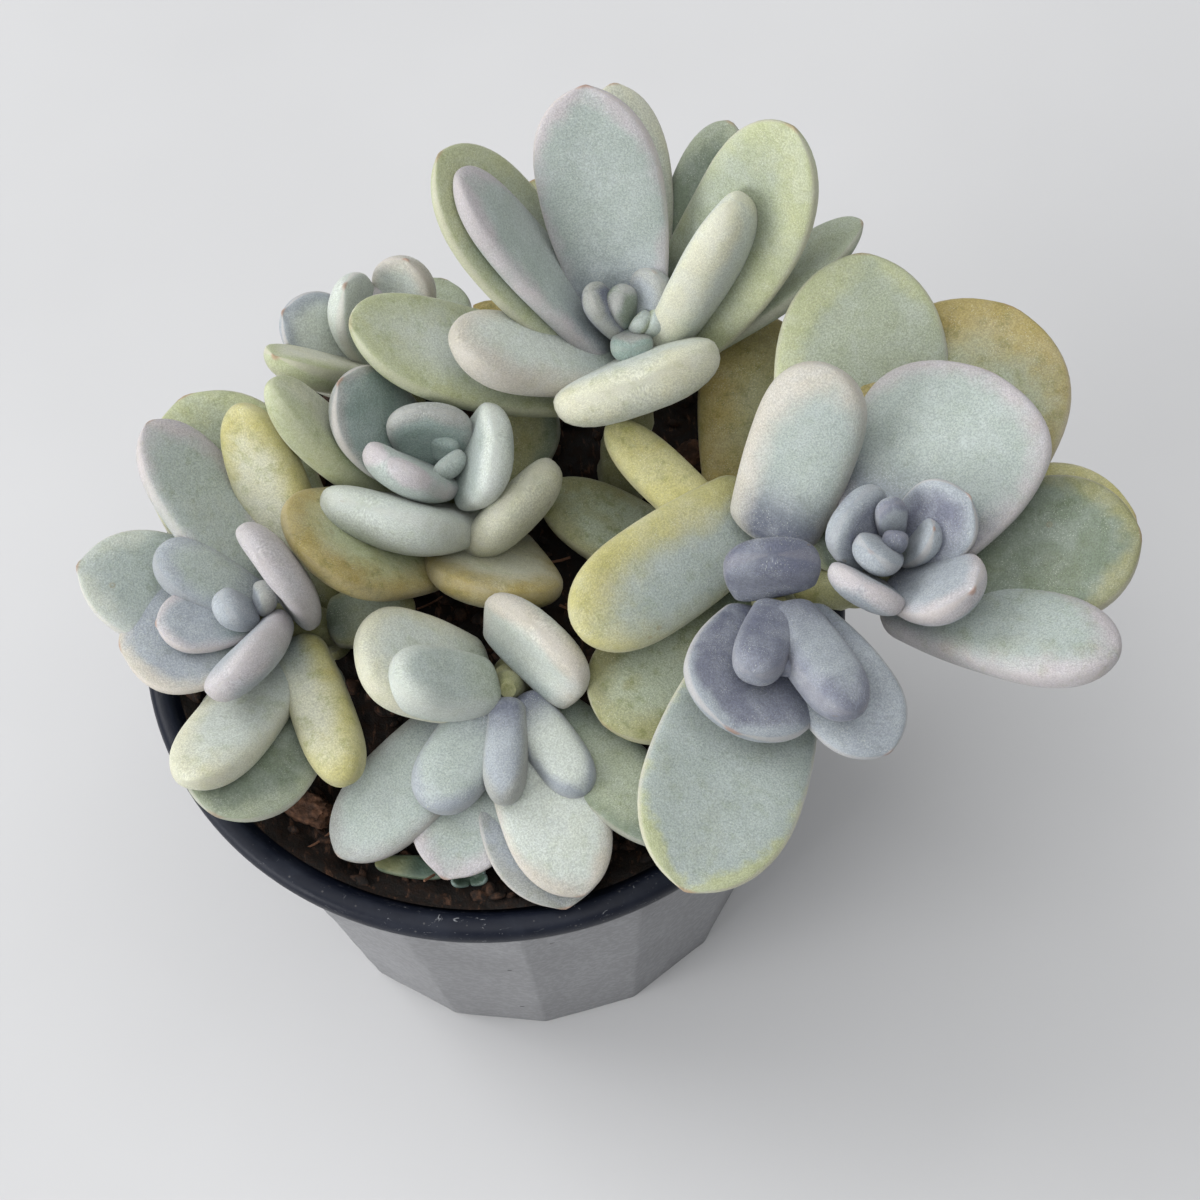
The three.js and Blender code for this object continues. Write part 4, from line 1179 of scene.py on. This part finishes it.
class SUCCULENT_OT_soil(bpy.types.Operator):
    """Models the lumpy potting mix in the nursery pot"""
    bl_idname = "succulent.soil"
    bl_label = "Soil"

    def execute(self, context):
        looks = context.scene.succulent_soil
        bottom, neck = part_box("soil")[0][2], COVER_TOP - GAP
        edge, bank = SOIL_RADIUS + looks.bank_width, SOIL_TOP + looks.bank_height
        profile = [
            (SOIL_FOOT, bottom), (SOIL_WAIST, neck), (SOIL_RADIUS + 0.1 * MM, SOIL_TOP), (edge, bank)]
        rings = 56
        for step in range(1, rings):
            radius = edge * (1 - step / rings) ** 0.9
            high = min(max((radius - edge + BANK_REACH) / BANK_REACH, 0), 1)
            profile.append((radius, SOIL_TOP + looks.bank_height * high ** 1.6))
        soil = turned_piece("soil_mix", profile, 220)
        surface = soil.vertex_groups.new(name="surface")
        chosen = [
            corner.index for corner in soil.data.vertices
            if corner.co.z > SOIL_TOP - GAP and corner.co.xy.length < edge - 0.5 * MM
        ]
        surface.add(chosen, 1.0, "REPLACE")
        clouded(soil, "Lumps", 6 * MM, looks.relief, "surface")
        clouded(soil, "Bits", 1.6 * MM, looks.relief * 0.5, "surface")
        smooth(soil, 60)
        finish = soil_finish("potting_mix", looks.colour, looks.bark_colour, 0.12)
        finish_piece(soil, finish, "soil", "soil")
        return {"FINISHED"}


def scattered(count, draw, spacing):
    """Random places on the surface of the soil, in metres, clear of the stems."""
    soil = bpy.data.objects["soil_mix"]
    stems = [Vector(head["stem"][:2]) * MM for head in HEADS.values()]
    found = []
    while len(found) < count:
        radius, turn = (SOIL_RADIUS + 3 * MM) * math.sqrt(draw.random()), draw.uniform(0, 2 * math.pi)
        spot = Vector((radius * math.cos(turn), radius * math.sin(turn)))
        hit, place = soil.ray_cast((spot.x, spot.y, DROP_HEIGHT), (0, 0, -1))[:2]
        if hit and all((spot - stem).length > spacing for stem in stems):
            found.append(place)
    return found


def model_crumb_pattern():
    """Models the pattern of all crumbs: a broken ball."""
    deselect_all()
    bpy.ops.mesh.primitive_ico_sphere_add(subdivisions=2, radius=1)
    crumb = added("crumb_pattern")
    clouded(crumb, "Broken", 0.7, 0.9)
    return crumb


def model_fibre_pattern():
    """Models the pattern of all fibres: a thin bent rod."""
    deselect_all()
    bpy.ops.mesh.primitive_cylinder_add(vertices=5, radius=0.035, depth=1)
    fibre = added("fibre_pattern")
    bpy.ops.object.mode_set(mode="EDIT")
    for height in (-0.25, 0, 0.25):
        bpy.ops.mesh.select_all(action="SELECT")
        bpy.ops.mesh.bisect(plane_co=(0, 0, height), plane_no=(0, 0, 1))
    bpy.ops.object.mode_set(mode="OBJECT")
    arch = fibre.modifiers.new("Arch", "SIMPLE_DEFORM")
    arch.deform_method = "BEND"
    arch.deform_axis = "X"
    arch.angle = math.radians(50)
    apply_modifiers(fibre)
    return fibre


class SUCCULENT_OT_crumbs(bpy.types.Operator):
    """Scatters crumbs and coir fibres over the soil"""
    bl_idname = "succulent.crumbs"
    bl_label = "Crumbs and fibres"

    def execute(self, context):
        looks = context.scene.succulent_soil
        draw = random.Random(41)
        loose = (looks.colour, looks.bark_colour, 0.45)
        coir = (looks.bark_colour, looks.bark_colour, 0.8)
        groups = (
            ("soil_crumbs", model_crumb_pattern(), looks.crumbs, (0.5, 1.9), (0, 3), "soil", loose),
            ("coir_fibres", model_fibre_pattern(), looks.fibres, (4, 8), (1.2, 1.9), "bark", coir),
        )
        for name, pattern, count, lengths, tilts, slot, shades in groups:
            shape = points_of(pattern.data)
            parts = []
            for spot in scattered(count, draw, 5 * MM):
                size = draw.uniform(*lengths) * MM
                squash = (1, draw.uniform(0.5, 1), draw.uniform(0.35, 0.8))
                if name == "coir_fibres":
                    squash = (1, 1, 1)
                flat = Matrix.Diagonal([size * share for share in squash])
                turn = Euler((draw.uniform(*tilts), draw.uniform(-0.3, 0.3), draw.uniform(0, 6.3)))
                points = shape @ np.array(turn.to_matrix() @ flat).T
                points += (spot.x, spot.y, spot.z + draw.uniform(0, 0.35) * size)
                part = copy_of(pattern, name)
                set_points(part.data, points)
                parts.append(part)
            discard(pattern)
            piece = join_pieces(name, parts)
            smooth(piece, 50)
            finish_piece(piece, soil_finish(name + "_finish", *shades), slot)
        return {"FINISHED"}


class SUCCULENT_OT_bark_chips(bpy.types.Operator):
    """Models one broken bark chip and copies it to each chip's place"""
    bl_idname = "succulent.bark_chips"
    bl_label = "Bark chips"

    def execute(self, context):
        looks = context.scene.succulent_soil
        draw = random.Random(7)
        deselect_all()
        bpy.ops.mesh.primitive_cube_add(size=2)
        chip = added("chip_pattern")
        bpy.ops.object.mode_set(mode="EDIT")
        bpy.ops.mesh.select_all(action="SELECT")
        bpy.ops.mesh.subdivide(number_cuts=13, smoothness=0.35)
        bpy.ops.object.mode_set(mode="OBJECT")
        clouded(chip, "Broken faces", 0.55, 0.8)
        clouded(chip, "Splinters", 0.16, 0.25)
        shape = points_of(chip.data)
        parts = []
        for x, y, length, width, height, turn in BARK_CHIPS:
            part = copy_of(chip, "chip")
            scale = Matrix.Diagonal((length / 2 * MM, width / 2 * MM, height / 2 * MM))
            turned = Euler((draw.uniform(-0.25, 0.25), draw.uniform(-0.2, 0.2), math.radians(turn)))
            points = shape @ np.array(turned.to_matrix() @ scale).T * CHIP_FILL
            points += (x * MM, y * MM, SOIL_TOP + GAP + height * CHIP_LIFT * MM)
            set_points(part.data, points)
            parts.append(part)
        discard(chip)
        piece = join_pieces("bark_chips", parts)
        smooth(piece, 45)
        names = [f"bark_chip_{number}" for number in range(1, len(BARK_CHIPS) + 1)]
        dark = [value * 0.25 for value in looks.bark_colour]
        finish_piece(piece, soil_finish("broken_bark", dark, looks.bark_colour, 1.0), "bark", *names)
        return {"FINISHED"}


class SUCCULENT_OT_heads(bpy.types.Operator):
    """Models one leaf and one stem, and copies them into the six heads"""
    bl_idname = "succulent.heads"
    bl_label = "Heads of leaves"

    def execute(self, context):
        tints = context.scene.succulent_tints
        leaf_pattern, stem_pattern = model_leaf_pattern(), model_stem_pattern()
        leaf_shape, stem_shape = points_of(leaf_pattern.data), points_of(stem_pattern.data)
        finish = leaf_finish("leaf_skin")
        seed = 0
        for node, head in HEADS.items():
            parts = []
            for path, radius in stem_paths(head):
                seed += 1
                parts.append(add_stem(stem_pattern, stem_shape, path, radius, tints, seed))
            for crown in head["crowns"]:
                for row in crown["leaves"]:
                    seed += 1
                    parts.append(add_leaf(leaf_pattern, leaf_shape, crown, row, tints, seed))
            piece = join_pieces(f"{node}_rosette", parts)
            smooth(piece, 60)
            finish_piece(piece, finish, "leaf", node)
        discard(leaf_pattern)
        discard(stem_pattern)
        return {"FINISHED"}


def resting(points):
    """Sets points in millimetres down on the soil."""
    points[:, 2] += (SOIL_TOP + GAP) / MM - points[:, 2].min()
    return points


class SUCCULENT_OT_fallen_leaf(bpy.types.Operator):
    """Models the dropped leaf and the sprout beside it"""
    bl_idname = "succulent.fallen_leaf"
    bl_label = "Fallen leaf and sprout"

    def execute(self, context):
        tints = context.scene.succulent_tints
        pattern = model_leaf_pattern()
        places = points_of(pattern.data)
        finish = wilted_finish()
        fallen = copy_of(pattern, "wilted_leaf")
        root = (*FALLEN_ROOT, SOIL_TOP / MM)
        points, span, grain = leaf_places(places, root, FALLEN_AIM, *FALLEN_LEAF, 201)
        set_points(fallen.data, resting(points) * MM)
        store_looks(
            fallen.data, places[:, 2], span, grain, FALLEN_LEAF[-1], "olive damp green", 0.3, 1, 0, tints)
        smooth(fallen, 60)
        finish_piece(fallen, finish, "fallen_leaf", "fallen_leaf")
        parts = []
        root = (*SPROUT_ROOT, SOIL_TOP / MM + 1)
        for number, aim in enumerate(SPROUT_AIMS):
            part = copy_of(pattern, "sprout_leaf")
            points, span, grain = leaf_places(places, root, aim, *SPROUT_LEAF, 211 + number)
            set_points(part.data, points * MM)
            store_looks(
                part.data, places[:, 2], span, grain, SPROUT_LEAF[-1], "damp damp teal", 0.2, 0, 0, tints)
            parts.append(part)
        sprout = join_pieces("sprout_leaves", parts)
        smooth(sprout, 60)
        finish_piece(sprout, finish, "sprout", "sprout")
        discard(pattern)
        return {"FINISHED"}


class SUCCULENT_OT_stage(bpy.types.Operator):
    """Sets the floor, the soft lights and the camera"""
    bl_idname = "succulent.stage"
    bl_label = "Stage"

    def execute(self, context):
        looks = context.scene.succulent_stage
        deselect_all()
        bpy.ops.mesh.primitive_plane_add(size=8)
        floor = added("floor")
        make = Finish("pale_floor")
        shade = make.between(make.grain(make.place, 5, 4), 0.3, 0.7)
        colour = make.blend(shade, rgba(looks.floor_colour, 0.97), rgba(looks.floor_colour, 1.03))
        floor.data.materials.append(make.finish(colour, 0.9, Specular_IOR_Level=0.05))
        lights = (
            ("key_light", (-2.0, 1.1, 2.1), 2.0, looks.key_power),
            ("top_light", (0.1, -0.2, 2.4), 2.5, looks.top_power),
            ("window_light", (-1.9, -0.9, 0.7), 1.4, looks.window_power),
        )
        for name, place, size, power in lights:
            lamp = bpy.data.lights.new(name, "AREA")
            lamp.shape = "DISK"
            lamp.size = size
            lamp.energy = power
            light = bpy.data.objects.new(name, lamp)
            light.location = place
            light.rotation_euler = (-Vector(place)).to_track_quat("-Z", "Y").to_euler()
            context.scene.collection.objects.link(light)
        world = bpy.data.worlds.new("soft_daylight")
        world.use_nodes = True
        background = world.node_tree.nodes["Background"]
        background.inputs["Color"].default_value = (0.95, 0.97, 1.0, 1)
        background.inputs["Strength"].default_value = looks.sky
        context.scene.world = world
        context.scene.view_settings.view_transform = "Standard"
        self.add_camera(context)
        return {"FINISHED"}

    def add_camera(self, context):
        """Sets the camera at the photograph's view."""
        level = Vector((1, 0, 0))
        ahead = Vector((0, math.cos(CAMERA_PITCH), -math.sin(CAMERA_PITCH)))
        level_up = level.cross(ahead)
        right = level * math.cos(CAMERA_ROLL) + level_up * math.sin(CAMERA_ROLL)
        up = level_up * math.cos(CAMERA_ROLL) - level * math.sin(CAMERA_ROLL)
        lens = bpy.data.cameras.new("photo_view")
        lens.lens = CAMERA_LENS
        lens.sensor_width = 36
        lens.clip_start = 0.01
        camera = bpy.data.objects.new("photo_view", lens)
        turn = Matrix((right, up, -ahead)).transposed().to_4x4()
        camera.matrix_world = Matrix.Translation(CAMERA_PLACE) @ turn
        context.scene.collection.objects.link(camera)
        context.scene.camera = camera


class SUCCULENT_PT_pieces(bpy.types.Panel):
    """Lists the pieces and the sizes and colours behind them"""
    bl_idname = "SUCCULENT_PT_pieces"
    bl_label = "Potted succulent"
    bl_space_type = "VIEW_3D"
    bl_region_type = "UI"
    bl_category = "Succulent"

    def draw(self, context):
        layout = self.layout
        for operator in OPERATORS:
            layout.operator(operator.bl_idname)
        for group in SETTINGS:
            box = layout.box()
            settings = getattr(context.scene, group)
            for name in settings.bl_rna.properties.keys():
                if name not in {"rna_type", "name"}:
                    box.prop(settings, name)


SETTINGS = {
    "succulent_tints": LeafTints,
    "succulent_leaf": LeafShape,
    "succulent_pots": PotSizes,
    "succulent_soil": SoilLooks,
    "succulent_stage": StageLooks,
}
OPERATORS = (
    SUCCULENT_OT_cover_pot,
    SUCCULENT_OT_nursery_pot,
    SUCCULENT_OT_soil,
    SUCCULENT_OT_crumbs,
    SUCCULENT_OT_bark_chips,
    SUCCULENT_OT_heads,
    SUCCULENT_OT_fallen_leaf,
    SUCCULENT_OT_stage,
)


def register():
    """Registers the settings, the operators and the panel."""
    for name, group in SETTINGS.items():
        bpy.utils.register_class(group)
        setattr(bpy.types.Scene, name, PointerProperty(type=group))
    for part in (*OPERATORS, SUCCULENT_PT_pieces):
        bpy.utils.register_class(part)


def unregister():
    """Takes away what register added."""
    for part in (SUCCULENT_PT_pieces, *reversed(OPERATORS)):
        bpy.utils.unregister_class(part)
    for name, group in reversed(SETTINGS.items()):
        delattr(bpy.types.Scene, name)
        bpy.utils.unregister_class(group)


def main():
    """Builds every piece and the stage."""
    register()
    bpy.ops.succulent.cover_pot()
    bpy.ops.succulent.nursery_pot()
    bpy.ops.succulent.soil()
    bpy.ops.succulent.crumbs()
    bpy.ops.succulent.bark_chips()
    bpy.ops.succulent.heads()
    bpy.ops.succulent.fallen_leaf()
    bpy.ops.succulent.stage()


if __name__ == "__main__":
    main()
